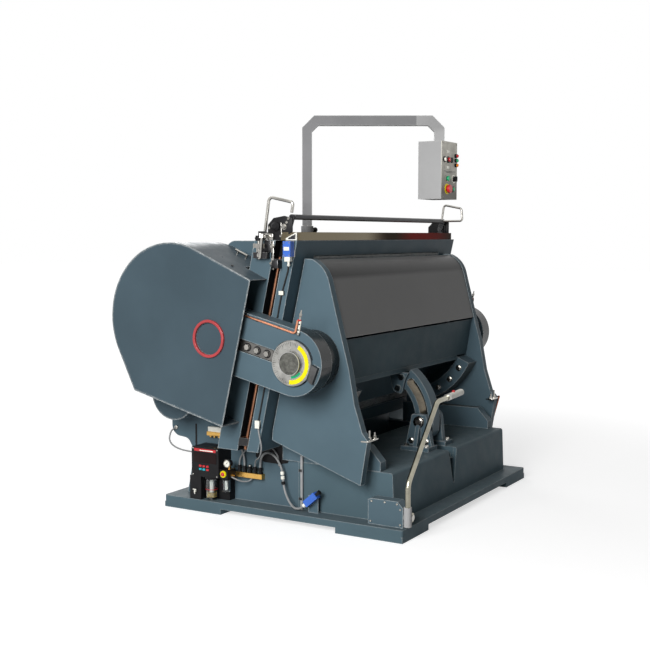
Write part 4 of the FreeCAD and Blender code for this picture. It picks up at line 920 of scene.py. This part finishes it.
class PRESS_OT_platen(bpy.types.Operator):
    """Paint the platen, and fit the rocker bolts and the front brackets"""

    bl_idname = "press.platen"
    bl_label = "Platen"

    def execute(self, context):
        dress("platen_plate", paint_slate())
        dress("platen_side_plates", paint_slate())
        dress("platen_cover", paint_platen())
        dress("platen_lower_panel", paint_casting_in_painted_shade())
        dress("platen_crossbeam", paint_casting())
        dress("cutting_plate", steel())
        dress("rocker_segments", paint_slate(), [(oiled_steel(), self.is_tread)])
        dress("trunnions", drum_black())
        dress("guide_arm", paint_slate(), [(slot_steel(), self.in_slot)])
        dress("guide_arm_bracket", paint_slate(), [(chrome(), lambda p, n: p.x < -72.5)])
        dress("guide_roller", oiled_steel())
        self.rocker_bolts()
        self.front_brackets()
        return {"FINISHED"}

    @staticmethod
    def is_tread(place, normal):
        return reach(place, ROCKER_CENTRE) > 460

    @staticmethod
    def in_slot(place, normal):
        return abs(normal.x) < 0.1 and 280 < reach(place, GUIDE_POLE) < 340 and place.z < 860

    @staticmethod
    def rocker_bolts():
        bolts = Trim("rocker_bolts").wear(chrome())
        for _, sign in sides():
            for angle in (213, 226, 239):
                place = (sign * 690, *polar(ROCKER_CENTRE, 424, angle))
                bolts.hex_head(place, (-sign, 0, 0), 26, 14)
        bolts.done("platen", "polished_steel")

    @staticmethod
    def front_brackets():
        """Plated tab with two studs low on each side plate's front, and a black plate with an orange
        strip on the right plate's front edge.
        """
        for name, sign in sides():
            tab = Trim(name + "_front_bracket").wear(chrome())
            near, far = sorted((sign * 864, sign * 752))
            tab.box((near, -555, 485), (far, -514, 493), 1.5)
            for x, top in ((822, 47), (768, 30)):
                tab.hex_head((sign * x, -540, 493), UP, 18, 13)
                tab.turned((sign * x, -540, 493), UP, round_profile(top, 5.5, 1.5))
            tab.done("platen", "polished_steel")
        guard = Trim("right_edge_guard").wear(black_plastic())
        edge = [(-557, 499), (-512, 334), (-500, 334), (-545, 499)]
        guard.prism(edge, 860, 878, 2)
        guard.wear(plastic("orange_strip", (0.62, 0.12, 0.02), rough=0.4))
        strip = [(-560, 498), (-515, 335), (-511, 335), (-556, 498)]
        guard.prism(strip, 868, 877, 1)
        guard.done("platen", "black_plastic")


class PRESS_OT_draw_bars(bpy.types.Operator):
    """Finish the draw bars and dials, and fit the oil pipes and graduations"""

    bl_idname = "press.draw_bars"
    bl_label = "Draw bars and dials"

    def execute(self, context):
        for name, sign in sides():
            finishes = [
                (drum_black(), self.is_round_end),
                (oiled_steel(), self.is_key),
                (chrome(), self.is_key_bolt),
                (pointer_steel(), self.is_pointer),
            ]
            dress(name + "_draw_bar", paint_slate(), finishes)
            knurl = knurled("dial_knurl", (0.09, 0.09, 0.08))
            dress(name + "_dial", dial_steel(), [(knurl, self.is_knob)])
            self.graduations(name, sign)
            self.oil_line(name, sign)
        return {"FINISHED"}

    @staticmethod
    def is_round_end(place, normal):
        return abs(normal.x) < 0.3 and along_bar(place)[0] < 60 and abs(place.x) < BAR_FACE

    @staticmethod
    def is_key(place, normal):
        along, across = along_bar(place)
        return 117 < along < 421 and abs(across) < 31 and abs(place.x) > 1040

    @staticmethod
    def is_key_bolt(place, normal):
        return 130 < along_bar(place)[0] < 300 and abs(place.x) > BAR_FACE + 0.5

    @staticmethod
    def is_pointer(place, normal):
        return abs(place.x) > BAR_FACE + 0.5 and along_bar(place)[0] < 0

    @staticmethod
    def is_knob(place, normal):
        return abs(place.x) > DIAL_FACE + 0.5 and reach(place, TRUNNION) < 60

    @staticmethod
    def graduations(name, sign):
        """Raised ticks, a yellow arc for the working range, a green setting mark and the knob's rim."""
        marks = Trim(name + "_dial_marks").wear(black_plastic())
        count = sizes().ticks
        x0, x1 = sign * (DIAL_FACE - 0.2), sign * (DIAL_FACE + 0.5)
        for i in range(count):
            angle = 360 * i / count
            long_tick = i % 5 == 0
            inner = 84 if long_tick else 93
            half = 0.55 if long_tick else 0.38
            marks.arc_plate(TRUNNION, inner, 104, angle - half, angle + half, x0, x1, steps=1)
        marks.wear(yellow_plastic())
        marks.arc_plate(TRUNNION, 82, 103, 118, 275, x0, sign * (DIAL_FACE + 0.9), steps=48)
        marks.wear(green_plastic())
        marks.arc_plate(TRUNNION, 62, 74, 218, 268, x0, sign * (DIAL_FACE + 0.7), steps=16)
        marks.wear(steel())
        rim = [(-1, 59), (-1, 55), (2, 55.5), (2, 58)]
        marks.hoop((sign * DIAL_KNOB_FACE, *TRUNNION), (sign, 0, 0), rim, sides=64)
        marks.done(name + "_dial", "polished_steel")

    @staticmethod
    def oil_line(name, sign):
        """Copper pipe along the bar's upper edge with its clips and nipple, black arcs of painted shadow
        in the gap round the dial, and bolt rings.
        """
        x = sign * (BAR_FACE + 5)
        out = (sign, 0, 0)
        body = name + "_bar"
        run = ((60, 1110.5), (26, 1102), (-111, 1067), (-222, 1038))
        rise = ((-248, 1030), (-262, 1034), (-267, 1058), (-276, 1094))
        route = [(x, y, z) for y, z in run + rise]
        pipe(name + "_bar_oil_pipe", route, sizes().bar_pipe, copper(), body)
        fitting = Trim(name + "_bar_oil_fitting").wear(ivory_plastic())
        lean = (0, -0.2, 0.98)
        sleeve = [(0, 5), (2, 6.5), (60, 6.5), (62, 5)]
        fitting.turned((x, -279, 1030), lean, sleeve, sides=20)
        fitting.wear(red_plastic())
        ring = [(0, 9), (1, 10), (7, 10), (8, 9)]
        fitting.turned((x, -285, 1090), lean, ring, sides=20)
        fitting.wear(chrome())
        fitting.hex_head((x, -277, 1022), lean, 18, 12, washer=False)
        nipple = [(0, 6), (16, 6), (18, 8), (28, 8), (32, 4), (48, 3)]
        fitting.turned((x, -287, 1097), lean, nipple)
        fitting.wear(black_plastic())
        for z in (1046, 1074):
            place = (x - sign * 1, -279 - (z - 1030) * 0.2, z)
            fitting.turned(place, out, round_profile(8, 4), sides=14)
        # Painted shadow: black arcs in the gap round the dial, on its right side only
        x0, x1 = sign * (BAR_FACE - 0.2), sign * (BAR_FACE + 0.8)
        for start, stop in ((96, 170), (226, 292)):
            fitting.arc_plate(TRUNNION, 113.6, 117.4, start, stop, x0, x1)
        for far in KEY_BOLTS:
            seat = (sign * (BAR_FACE - 2), *polar(TRUNNION, far, BAR_ANGLE))
            fitting.hoop(seat, out, [(-0.5, 22), (-0.5, 15.5), (1.2, 15.5), (1.2, 22)])
        fitting.wear(black_steel())
        for y, z in ((-40, 1085), (-160, 1054.5)):
            low = (sign * 1061.5 - 3, y - 7, z - 8)
            high = (sign * 1067.5 + 3, y + 7, z + 7)
            fitting.box(low, high, 1.5)
        fitting.done(body, "brass")


class PRESS_OT_bed_top(bpy.types.Operator):
    """Finish the strip, safety bar, handles, clamps and pull rods on top of the bed"""

    bl_idname = "press.bed_top"
    bl_label = "Bed top"

    def execute(self, context):
        dress("bed_top_strip", lacquered_strip("polished_strip"))
        dress("bed_brackets", black_steel(), [(chrome(), lambda p, n: abs(p.x) > 949 and p.z > 1430)])
        dress("safety_bar", black_steel(), [(chrome(), lambda p, n: p.z > 1613 or p.y < -170)])
        dress("chase_handle", chrome())
        for name, _ in sides():
            dress(name + "_clamp_knob", chrome(), [(black_plastic(), lambda p, n: p.z > 1475.5)])
        dress("pull_rods", rusty_rod(), [(black_steel(), lambda p, n: abs(p.x) > 940)])
        self.clamp_plates()
        self.bar_hubs()
        tip = Trim("chase_handle_tip").wear(chrome())
        tip.turned((-905, -142.4, 1624), (0, 0.175, -0.985), [(0, 8), (6, 8), (8, 6.5)])
        tip.done("chase_handle", "polished_steel")
        return {"FINISHED"}

    @staticmethod
    def clamp_plates():
        """Plated guide strips and screws of the chase clamps on the bed's sides."""
        lean = (0, -0.117, 0.993)
        for name, sign in sides():
            out = (sign, 0, 0)
            plates = Trim(name + "_clamp_plates").wear(chrome())
            inner, outer = sorted((sign * 950, sign * 957))
            plates.box((inner, -66, 1330), (outer, -50, 1474), 1.5)
            near, far = sorted((sign * 957, sign * 990))
            plates.turned((sign * 957, -64, 1364), out, round_profile(26, 8, 2))
            plates.hex_head((sign * 957, -58, 1448), out, 17, 9)
            plates.hex_head((sign * 984, 2, 1403), out, 19, 10)
            plates.turned((sign * 988, -4, 1389), lean, round_profile(112, 7.5, 2))
            plates.hex_head((sign * 988, -16, 1488), lean, 28, 24, washer=False)
            plates.box((inner, -62, 1480), (outer, -6, 1512), 2)
            plates.turned((sign * 957, -34, 1497), out, round_profile(34, 9, 2))
            plates.wear(black_steel())
            plates.box((inner, -48, 1418), (outer, -10, 1478), 2)
            plates.box((min(inner, near), -112, 1340), (max(outer, far), -76, 1380), 3)
            plates.wear(black_plastic())
            knob = [(0, 5), (5, 5), (7, 10), (18, 10), (21, 7)]
            plates.turned((sign * 957, 25, 1488), out, knob)
            plates.done("frame", "polished_steel")

    @staticmethod
    def bar_hubs():
        """Black spring plates outside the safety bar's ears, with their housings and screws."""
        outline = [(-24, 1479), (-24, 1556), (-58, 1590), (-122, 1600)]
        outline += [(-168, 1588), (-168, 1520), (-100, 1479)]
        for name, sign in sides():
            out = (sign, 0, 0)
            hub = Trim(name + "_bar_housing").wear(black_plastic())
            hub.prism(outline, sign * 936, sign * 946, 2)
            inner, outer = sorted((sign * 924, sign * 937))
            hub.box((inner, -150, 1519), (outer, -92, 1572), 3)
            boss = [(0, 24), (10, 24), (13, 20), (20, 12)]
            hub.turned((sign * 945, -74, 1548), out, boss)
            hub.wear(chrome())
            hub.hex_head((sign * 945, -120, 1545), out, 22, 12)
            for y, z in ((-36, 1540), (-140, 1567), (-150, 1586), (-104, 1500)):
                hub.socket_head((sign * 945.5, y, z), out, 7, 7)
            hub.turned((sign * 950, -110, 1508), (0, 0.05, 1), round_profile(58, 4), sides=14)
            hub.done("frame", "black_plastic")


class PRESS_OT_switches(bpy.types.Operator):
    """Finish the two limit switches and the lead between them"""

    bl_idname = "press.switches"
    bl_label = "Switches"

    def execute(self, context):
        bracket = (chrome(), lambda p, n: p.x > -955.5)
        gland = (ivory_plastic(), lambda p, n: p.z < 1397.5)
        dress("top_switch", blue_plastic(), [bracket, gland])
        dress("top_switch_plunger", ivory_plastic())
        dress("switch_cable", rubber(), [(ivory_plastic(), self.is_fitting)])
        stand = (paint_slate(), lambda p, n: p.x > -773.5)
        ends = [(ivory_plastic(), self.is_tail), (black_plastic(), self.is_nose)]
        dress("low_switch", blue_plastic(), [stand] + ends)
        self.switch_trim()
        return {"FINISHED"}

    @staticmethod
    def is_fitting(place, normal):
        clip = abs(place.y + 112) < 14.5 and abs(place.z - 1216) < 10.5
        foot = abs(place.y - 33) < 13.5 and 519 < place.z < 561
        return (clip or foot) and (abs(place.x + 954) > 4.2 or abs(normal.x) > 0.9)

    @staticmethod
    def is_tail(place, normal):
        return place.y > -152 and place.z < 118

    @staticmethod
    def is_nose(place, normal):
        return place.y < -217 and place.z > 168

    @staticmethod
    def switch_trim():
        """Cover screws and blank plate of the top switch, and the shelf above it."""
        screws = Trim("top_switch_screws").wear(chrome())
        for y, z in ((-177, 1466), (-147, 1466), (-177, 1406), (-147, 1406)):
            screws.socket_head((-987, y, z), LEFT, 3.2, 2.2)
        screws.wear(ivory_plastic())
        screws.box((-990, -178, 1428), (-986.5, -146, 1446), 0.8)
        shelf = [(-138, 1479), (-138, 1489), (-196, 1517), (-202, 1517), (-202, 1479)]
        screws.prism(shelf, -956, -951, 1)
        screws.wear(black_steel())
        hollow = [(-152, 1484), (-152, 1490), (-195, 1510), (-195, 1484)]
        screws.prism(hollow, -957, -955, 0.4)
        screws.done("frame", "polished_steel")


class PRESS_OT_lubrication(bpy.types.Operator):
    """Finish the oil pump, and fit its display, keys, gauge, pipes and hoses"""

    bl_idname = "press.lubrication"
    bl_label = "Lubrication"

    def execute(self, context):
        dress("lube_pump", black_plastic(), [(brass(), self.is_gauge_stem)])
        dress("lube_reservoir", clear_plastic("clear_bowl", (0.82, 0.86, 0.88)))
        dress("oil_manifold", brass(), [(black_plastic(), lambda p, n: p.z > 229)])
        self.pump_face()
        self.gauge_face()
        self.bowls()
        self.pipework()
        self.wall_details()
        self.hoses()
        return {"FINISHED"}

    @staticmethod
    def is_gauge_stem(place, normal):
        return abs(place.y - GAUGE[0]) < 9 and 243 < place.z < 258

    @staticmethod
    def pump_face():
        """Display, red band, keys, screws and drain tap of the pump."""
        x = PUMP_FACE
        face = Trim("pump_face").wear(dark_glass())
        face.box((x - 3, 384, 272), (x + 1, 536, 326), 2)
        face.wear(red_plastic())
        face.box((x - 2.5, 388, 334), (x + 1, 532, 349), 1.2)
        face.wear(ivory_plastic())
        face.box((x - 3.5, 404, 337), (x + 1, 494, 343), 1)
        red, cyan = red_plastic(), cyan_plastic()
        for z, keys in ((254, (red, red, red)), (236, (red, cyan, cyan))):
            for i, finish in enumerate(keys):
                face.wear(finish)
                y = 434 + 24 * i
                face.box((x - 4, y, z - 6), (x + 1, y + 17, z + 6), 2)
        face.wear(chrome())
        for y, z in ((380, 205), (540, 205), (380, 349), (540, 349)):
            face.socket_head((x, y, z), LEFT, 4, 2.5)
        face.wear(ivory_plastic())
        face.turned((-840, 527, 110), LEFT, round_profile(9, 6))
        face.box((-852, 516, 118), (-847, 538, 124), 1.5)
        face.box((-852, 524, 96), (-847, 530, 122), 1.5)
        face.done("frame", "black_plastic")

    @staticmethod
    def gauge_face():
        """Rim, dial and hand of the gauge, the valve's dome beside it and the outlet's nipple."""
        centre = (GAUGE_X, *GAUGE)
        gauge = Trim("oil_gauge").wear(chrome())
        gauge.hoop(centre, LEFT, [(-6, 22.5), (-6, 20.6), (4, 18), (5, 19), (4, 22)])
        gauge.wear(ivory_plastic())
        gauge.turned(centre, LEFT, [(-0.5, 18.4), (0.6, 18.4)])
        gauge.wear(black_plastic())
        for i in range(11):
            a = -45 + 27 * i
            gauge.arc_plate(GAUGE, 13, 16.5, a - 1.3, a + 1.3, GAUGE_X - 0.4, GAUGE_X - 1.2, steps=1)
        gauge.arc_plate(GAUGE, 0.5, 13, 128, 136, GAUGE_X - 0.4, GAUGE_X - 1.6, steps=2)
        gauge.turned(centre, LEFT, [(0, 2.4), (2.4, 2.4), (3, 1.6)])
        gauge.wear(yellow_plastic())
        gauge.turned((-832, 344, 222), LEFT, [(0, 19), (5, 19), (8, 17)])
        gauge.wear(red_plastic())
        gauge.turned((-840, 344, 222), LEFT, [(0, 12), (4, 11), (6.5, 7.5), (7.2, 3)])
        gauge.wear(brass())
        gauge.turned((-796, 318, 212), FRONT, [(0, 7), (8, 7), (8, 4), (20, 4)])
        gauge.done("frame", "polished_steel")

    @staticmethod
    def bowls():
        """Collars, level ring, filters and oil of the two clear bowls."""
        bowls = Trim("bowl_collars").wear(black_plastic())
        bowls.hoop((*BIG_BOWL, 183), UP, [(0, 35.5), (0, 33.1), (12, 33.1), (12, 36.5), (3, 36.5)])
        bowls.hoop((*SMALL_BOWL, 184), UP, [(0, 23), (0, 21.1), (11, 21.1), (11, 24), (3, 24)])
        bowls.wear(red_plastic())
        bowls.hoop((*BIG_BOWL, 126), UP, [(0, 34), (0, 33.1), (3, 33.1), (3, 34)])
        bowls.wear(chrome())
        bowls.turned((*BIG_BOWL, 66.5), UP, [(0, 9), (9, 9), (13, 6)])
        bowls.wear(ivory_plastic())
        bowls.turned((*BIG_BOWL, 96), UP, [(0, 11), (70, 11), (74, 8), (90, 8)])
        bowls.turned((*SMALL_BOWL, 130), UP, [(0, 8), (50, 8), (54, 5)])
        bowls.wear(plastic("oil", (0.35, 0.24, 0.06), rough=0.12, bump=0.02, coat=0.5))
        bowls.turned((*BIG_BOWL, 84.5), UP, [(0, 28.5), (26, 28.5)])
        bowls.done("frame", "black_plastic")

    @staticmethod
    def pipework():
        """Rigid oil pipes, their unions, the wall valve and the two conduits."""
        diameter = sizes().oil_pipe
        arcs = {
            "upper_oil_pipe": [(-744, 301, 262), (-744, 301, 290), (-746, 276, 332),
                               (-748, 226, 372), (-746, 160, 392), (-742, 98, 384),
                               (-738, 58, 340), (-734, 50, 300), (-725, 50, 286)],
            "clip_oil_pipe": [(-744, 199, 262), (-746, 196, 284), (-790, 160, 314),
                              (-880, 85, 342), (-952, 20, 384), (-960, 10, 434),
                              (-958, 28, 490), (-955, 34, 524)],
            "return_oil_pipe": [(-796, 318, 204), (-790, 290, 190), (-770, 262, 178),
                                (-752, 236, 180), (-744, 222, 190), (-742, 219, 201)],
        }
        for name, route in arcs.items():
            pipe(name, route, diameter, hose_skin(), "frame")
        conduit = [(-790, 549, 310), (-790, 590, 312), (-788, 690, 318),
                   (-780, 758, 350), (-760, 762, 404), (-740, 748, 424),
                   (-724, 744, 426)]
        pipe("pump_conduit", conduit, 0.009, hose_skin(), "frame")
        drop = [(-750, -101, z) for z in (356, 250, 140, 66.5)]
        pipe("switch_conduit", drop, 0.016, conduit_skin(), "frame")
        unions = Trim("oil_unions").wear(black_plastic())
        for i in range(5):
            unions.hex_head((MANIFOLD_X, 165 + 34 * i, 246), UP, 21, 12, washer=False)
        unions.wear(chrome())
        unions.turned((WALL_FACE, 50, 286), LEFT, [(0, 9), (7, 9), (9, 6)])
        unions.turned((MANIFOLD_X, 233, 262), UP, [(0, 8), (7, 8), (9, 6)])
        unions.turned((WALL_FACE, 744, 426), LEFT, [(0, 11), (9, 11), (11, 7)])
        unions.turned((-790, 549.5, 310), (0, 1, 0), [(0, 10), (9, 10), (12, 7)])
        unions.wear(ivory_plastic())
        unions.box((-756, 392, 428), (WALL_FACE, 504, 456), 3)
        unions.wear(brass())
        unions.box((-760, 386, 406), (WALL_FACE, 510, 429), 3)
        for y in (404, 436, 468, 494):
            unions.turned((-742, y, 406.5), (0, 0, -1), [(0, 7), (10, 7), (12, 5)], sides=6)
        unions.wear(black_steel())
        for z in (120, 270):
            unions.box((-762, -106, z), (-741, -88, z + 14), 2)
        unions.done("frame", "brass")

    @staticmethod
    def wall_details():
        """A black sheet on the left wall that is the painted shade of a recess, the wall's seam behind
        the pump, and a dark sheet of painted shade under the right side of the bed.
        """
        # Painted shade: a black sheet standing for the shade in a recess of the wall
        dark = Trim("wall_recess").wear(black_plastic())
        outline = [(205, 404), (127, 411), (-31, 389), (0, 300), (51, 289)]
        outline += [(147, 290), (205, 311)]
        dark.prism(outline, -725.2, -727, 0.5)
        dark.box((-727, 600, 300), (-725.2, 612, 458), 0.5)
        dark.done("frame", "black_plastic")
        # Painted shade: a dark sheet where the space under the bed's right side lies in shade
        guard = Trim("right_drip_guard").wear(paint_casting_in_painted_shade())
        guard.box((655, 150, 68), (938, 155, 388), 1)
        guard.done("frame", "cover_paint")

    @staticmethod
    def hoses():
        """The two free oil hoses, with the in-line unions on the longer one."""
        diameter = sizes().hose
        unions = Trim("hose_unions")
        ivory, black = ivory_plastic(), black_plastic()
        barrel = [(0, 8.5), (2, 10.5), (16, 10.5), (18, 8.5)]
        for finish, place in (
            (ivory, (-758, 14, 242)),
            (ivory, (-758.8, 10.5, 218)),
            (black, (-760.2, 7, 190)),
        ):
            unions.wear(finish)
            unions.turned(place, (0.03, 0.14, 1), barrel, sides=20)
        sleeves = unions.done("frame", "black_plastic")
        routes = (("hose_from_cover", HOSE_FROM_COVER, []), ("hose_to_switch", HOSE_TO_SWITCH, [sleeves]))
        for node, route, extra in routes:
            made = pipe("oil_" + node, route, diameter, hose_skin(), "frame")
            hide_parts(node)
            line_length(made)


class PRESS_OT_hand_lever(bpy.types.Operator):
    """Finish the clutch lever, its grip, thumb button and housing, and fit their screws and red catch"""

    bl_idname = "press.hand_lever"
    bl_label = "Hand lever"

    def execute(self, context):
        dress("lever_box", paint_slate())
        dress("clutch_lever", lever_plate(), [(paint_box(), lambda p, n: p.z < 176 and p.x < -783)])
        dress("lever_grip", ivory_plastic())
        dress("lever_button", red_plastic())
        screws = Trim("lever_box_screws").wear(chrome())
        low = ((-706, 82), (-706, 158), (-540, 82))
        high = ((-688, 184), (-620, 186), (-546, 184))
        for y, z in low + high:
            screws.socket_head((-806, y, z), LEFT, 5.5, 4)
        screws.done("frame", "polished_steel")
        nuts = Trim("lever_nuts").wear(chrome())
        nuts.hex_head((-780, -754, 120), FRONT, 28, 11)
        for z in (98, 152):
            nuts.turned((-805, -756, z), FRONT, round_profile(9, 7, 2))
        collar = [(0, 18.5), (0, 14), (24, 14), (24, 19), (6, 19.4)]
        nuts.hoop((-356, -746, 658.6), (0.999, 0, 0.039), collar)
        nuts.wear(red_plastic())
        nuts.turned((-268, -746, 676), UP, [(0, 8), (9, 8), (12, 6)])
        nuts.done("lever", "polished_steel")
        return {"FINISHED"}


class PRESS_OT_control_arm(bpy.types.Operator):
    """Finish the control arm, box and panel, and fit the lamps and button rings"""

    bl_idname = "press.control_arm"
    bl_label = "Control arm"

    def execute(self, context):
        dress("arm_socket", paint_arm())
        dress("arm_post", paint_arm(), [(chrome(), lambda p, n: p.z < 1553.9)])
        dress("arm_drop", paint_box())
        dress("control_box", paint_box())
        raised = (black_plastic(), lambda p, n: p.y < PANEL_Y - 0.5)
        dress("control_panel", panel_face("panel_enamel"), [raised])
        dress("start_button", green_plastic())
        dress("estop_button", red_plastic())
        dress("mode_selector", black_plastic())
        self.lenses()
        knob = Trim("arm_lock_knob").wear(black_plastic())
        grip = [(0, 6), (8, 6), (10, 13), (22, 14), (25, 11)]
        knob.turned((-590, -75, 1532), (1, 0, 0), grip)
        knob.done("frame", "black_plastic")
        return {"FINISHED"}

    @staticmethod
    def lenses():
        """Lamp lenses, caps, bezels, blank plates, the stop button's yellow plate and panel screws."""
        trim = Trim("panel_trim")
        x, y = PANEL_X, PANEL_Y
        lens = [(-1, 9), (4, 8.6), (7, 6), (8, 2.5)]
        cap = [(-1, 10), (5, 9.6), (7, 7)]
        for finish, z in ((red_plastic(), 1916), (green_plastic(), 1892), (amber_plastic(), 1868)):
            trim.wear(finish)
            trim.turned((x + 70, y - 12, z), FRONT, lens)
        trim.wear(red_plastic())
        trim.turned((x - 20, y - 5, 1892), FRONT, [(-1, 11), (6, 10.6), (8, 8)])
        trim.wear(ivory_plastic())
        trim.turned((x - 66, y - 5, 1892), FRONT, cap)
        trim.hoop((x + 52, y, 1796), FRONT, [(-0.5, 22), (-0.5, 16), (2, 16), (2, 22)])
        for z in (1926, 1846):
            trim.box((x - 34, y - 1.2, z), (x - 4, y + 0.5, z + 14), 0.6)
        trim.wear(green_plastic())
        trim.turned((x + 38, y - 5, 1742), FRONT, cap)
        trim.wear(yellow_plastic())
        trim.hoop((x - 30, y, 1742), FRONT, [(-0.5, 27), (-0.5, 13), (2, 13), (2, 27)])
        trim.wear(chrome())
        trim.hoop((x - 30, y, 1796), FRONT, [(-0.5, 17), (-0.5, 10), (1.5, 10), (1.5, 16)])
        for dx in (-86, 86):
            for z in (1700, 1975):
                trim.socket_head((x + dx, y, z), FRONT, 4, 2.6)
        trim.wear(black_plastic())
        for z, half in ((1832, 70), (1826, 46)):
            trim.box((x - half, y - 0.9, z), (x + half, y + 0.5, z + 2), 0.3)
        trim.done("control_box", "black_plastic")


def shown_rays(tree):
    """One for rays that show the backdrop: to the eye, off metal and through glass."""
    seen = tree.nodes.new("ShaderNodeLightPath").outputs
    direct = math_node(tree, "MAXIMUM", seen["Is Camera Ray"], seen["Is Glossy Ray"])
    return math_node(tree, "MAXIMUM", direct, seen["Is Transmission Ray"])


def set_up(scene, data, place, look):
    """Lamp or camera at a place, facing along a direction."""
    made = bpy.data.objects.new(data.name, data)
    made.location = place
    made.rotation_euler = look.to_track_quat("-Z", "Y").to_euler()
    scene.collection.objects.link(made)
    return made


class PRESS_OT_stage(bpy.types.Operator):
    """Set the floor, the soft light and the view"""

    bl_idname = "press.stage"
    bl_label = "Stage"

    def execute(self, context):
        self.floor(context.scene)
        self.sky(context.scene)
        self.lamps(context.scene)
        self.view(context.scene)
        context.scene.view_settings.view_transform = "Standard"
        return {"FINISHED"}

    @staticmethod
    def floor(scene):
        """Pale floor that stays near white to the eye but keeps the press's shadow."""
        half = 40.0
        mesh = bpy.data.meshes.new("floor")
        corners = [(-half, -half, 0), (half, -half, 0), (half, half, 0), (-half, half, 0)]
        mesh.from_pydata(corners, [], [(0, 1, 2, 3)])
        plane = bpy.data.objects.new("floor", mesh)
        scene.collection.objects.link(plane)
        made = Finish("floor_paper")
        tree = made.tree
        place = object_place(tree)
        tone = map_range(tree, noise_node(tree, place, 30.0, 4.0), 0.0, 1.0, 0.6, 0.66)
        away = vector_node(tree, "LENGTH", place)["Value"]
        far = map_range(tree, away, 1.6, 4.5, kind="SMOOTHSTEP")
        near = math_node(tree, "SUBTRACT", 1.0, far)
        made.wire(math_node(tree, "MULTIPLY", tone, near), "Base Color")
        glow = math_node(tree, "MULTIPLY_ADD", far, 0.38, 0.62)
        made.wire(math_node(tree, "MULTIPLY", shown_rays(tree), glow), "Emission Strength")
        made.still(Roughness=0.9, Emission_Color=(1.0, 1.0, 1.0, 1.0))
        mesh.materials.append(made.material)

    @staticmethod
    def sky(scene):
        """White backdrop to the eye, dim soft light to the press."""
        world = bpy.data.worlds.new("studio")
        scene.world = world
        world.use_nodes = True
        tree = world.node_tree
        back = tree.nodes["Background"]
        back.inputs["Color"].default_value = (1.0, 1.0, 1.0, 1.0)
        strength = map_range(tree, shown_rays(tree), 0.0, 1.0, 0.035, 1.0)
        tree.links.new(strength, back.inputs["Strength"])

    @staticmethod
    def lamps(scene):
        """Large softboxes: key from the left and a little ahead, top, and behind; a spot on the panel."""
        boxes = (
            ("key_softbox", (-7.1, -0.75, 3.4), (0.0, 0.0, 0.9), 3.5, 570.0),
            ("top_softbox", (0.5, 2.5, 6.0), (0.0, 0.0, 0.8), 4.0, 50.0),
            ("rear_softbox", (4.5, 5.5, 4.0), (0.0, 0.0, 1.0), 3.0, 110.0),
        )
        for name, place, target, size, power in boxes:
            lamp = bpy.data.lights.new(name, "AREA")
            lamp.shape = "SQUARE"
            lamp.size = size
            lamp.energy = power
            set_up(scene, lamp, place, Vector(target) - Vector(place))
        lamp = bpy.data.lights.new("panel_spot", "SPOT")
        lamp.energy = 320.0
        lamp.spot_size = math.radians(5.0)
        lamp.spot_blend = 0.3
        place = Vector((-0.9, -5.5, 2.4))
        set_up(scene, lamp, place, Vector((-0.3, -0.78, 1.86)) - place)

    @staticmethod
    def view(scene):
        """Camera at the photograph's height and angle."""
        camera = bpy.data.cameras.new("view")
        camera.lens = sizes().lens
        camera.sensor_width = 36.0
        camera.clip_end = 200.0
        scene.camera = set_up(scene, camera, EYE, Vector(LOOK))


OPERATORS = (
    PRESS_OT_stage,
    PRESS_OT_lubrication,
    PRESS_OT_castings,
    PRESS_OT_gear_train,
    PRESS_OT_platen,
    PRESS_OT_draw_bars,
    PRESS_OT_bed_top,
    PRESS_OT_switches,
    PRESS_OT_hand_lever,
    PRESS_OT_control_arm,
)


class PRESS_PT_panel(bpy.types.Panel):
    """Lists the press's pieces, sizes and colours"""

    bl_idname = "PRESS_PT_panel"
    bl_label = "Platen press"
    bl_space_type = "VIEW_3D"
    bl_region_type = "UI"
    bl_category = "Press"

    def draw(self, context):
        for operator in OPERATORS:
            self.layout.operator(operator.bl_idname)
        for group in (context.scene.press_sizes, context.scene.press_colours):
            for label in group.__annotations__:
                self.layout.prop(group, label)


CLASSES = (PressColours, PressSizes, *OPERATORS, PRESS_PT_panel)


def register():
    for item in CLASSES:
        bpy.utils.register_class(item)
    bpy.types.Scene.press_colours = bpy.props.PointerProperty(type=PressColours)
    bpy.types.Scene.press_sizes = bpy.props.PointerProperty(type=PressSizes)


def unregister():
    del bpy.types.Scene.press_sizes
    del bpy.types.Scene.press_colours
    for item in reversed(CLASSES):
        bpy.utils.unregister_class(item)


def main():
    """Dresses the whole press."""
    register()
    for operator in OPERATORS:
        group, name = operator.bl_idname.split(".")
        getattr(getattr(bpy.ops, group), name)()
    bpy.context.view_layer.update()


if __name__ == "__main__":
    main()
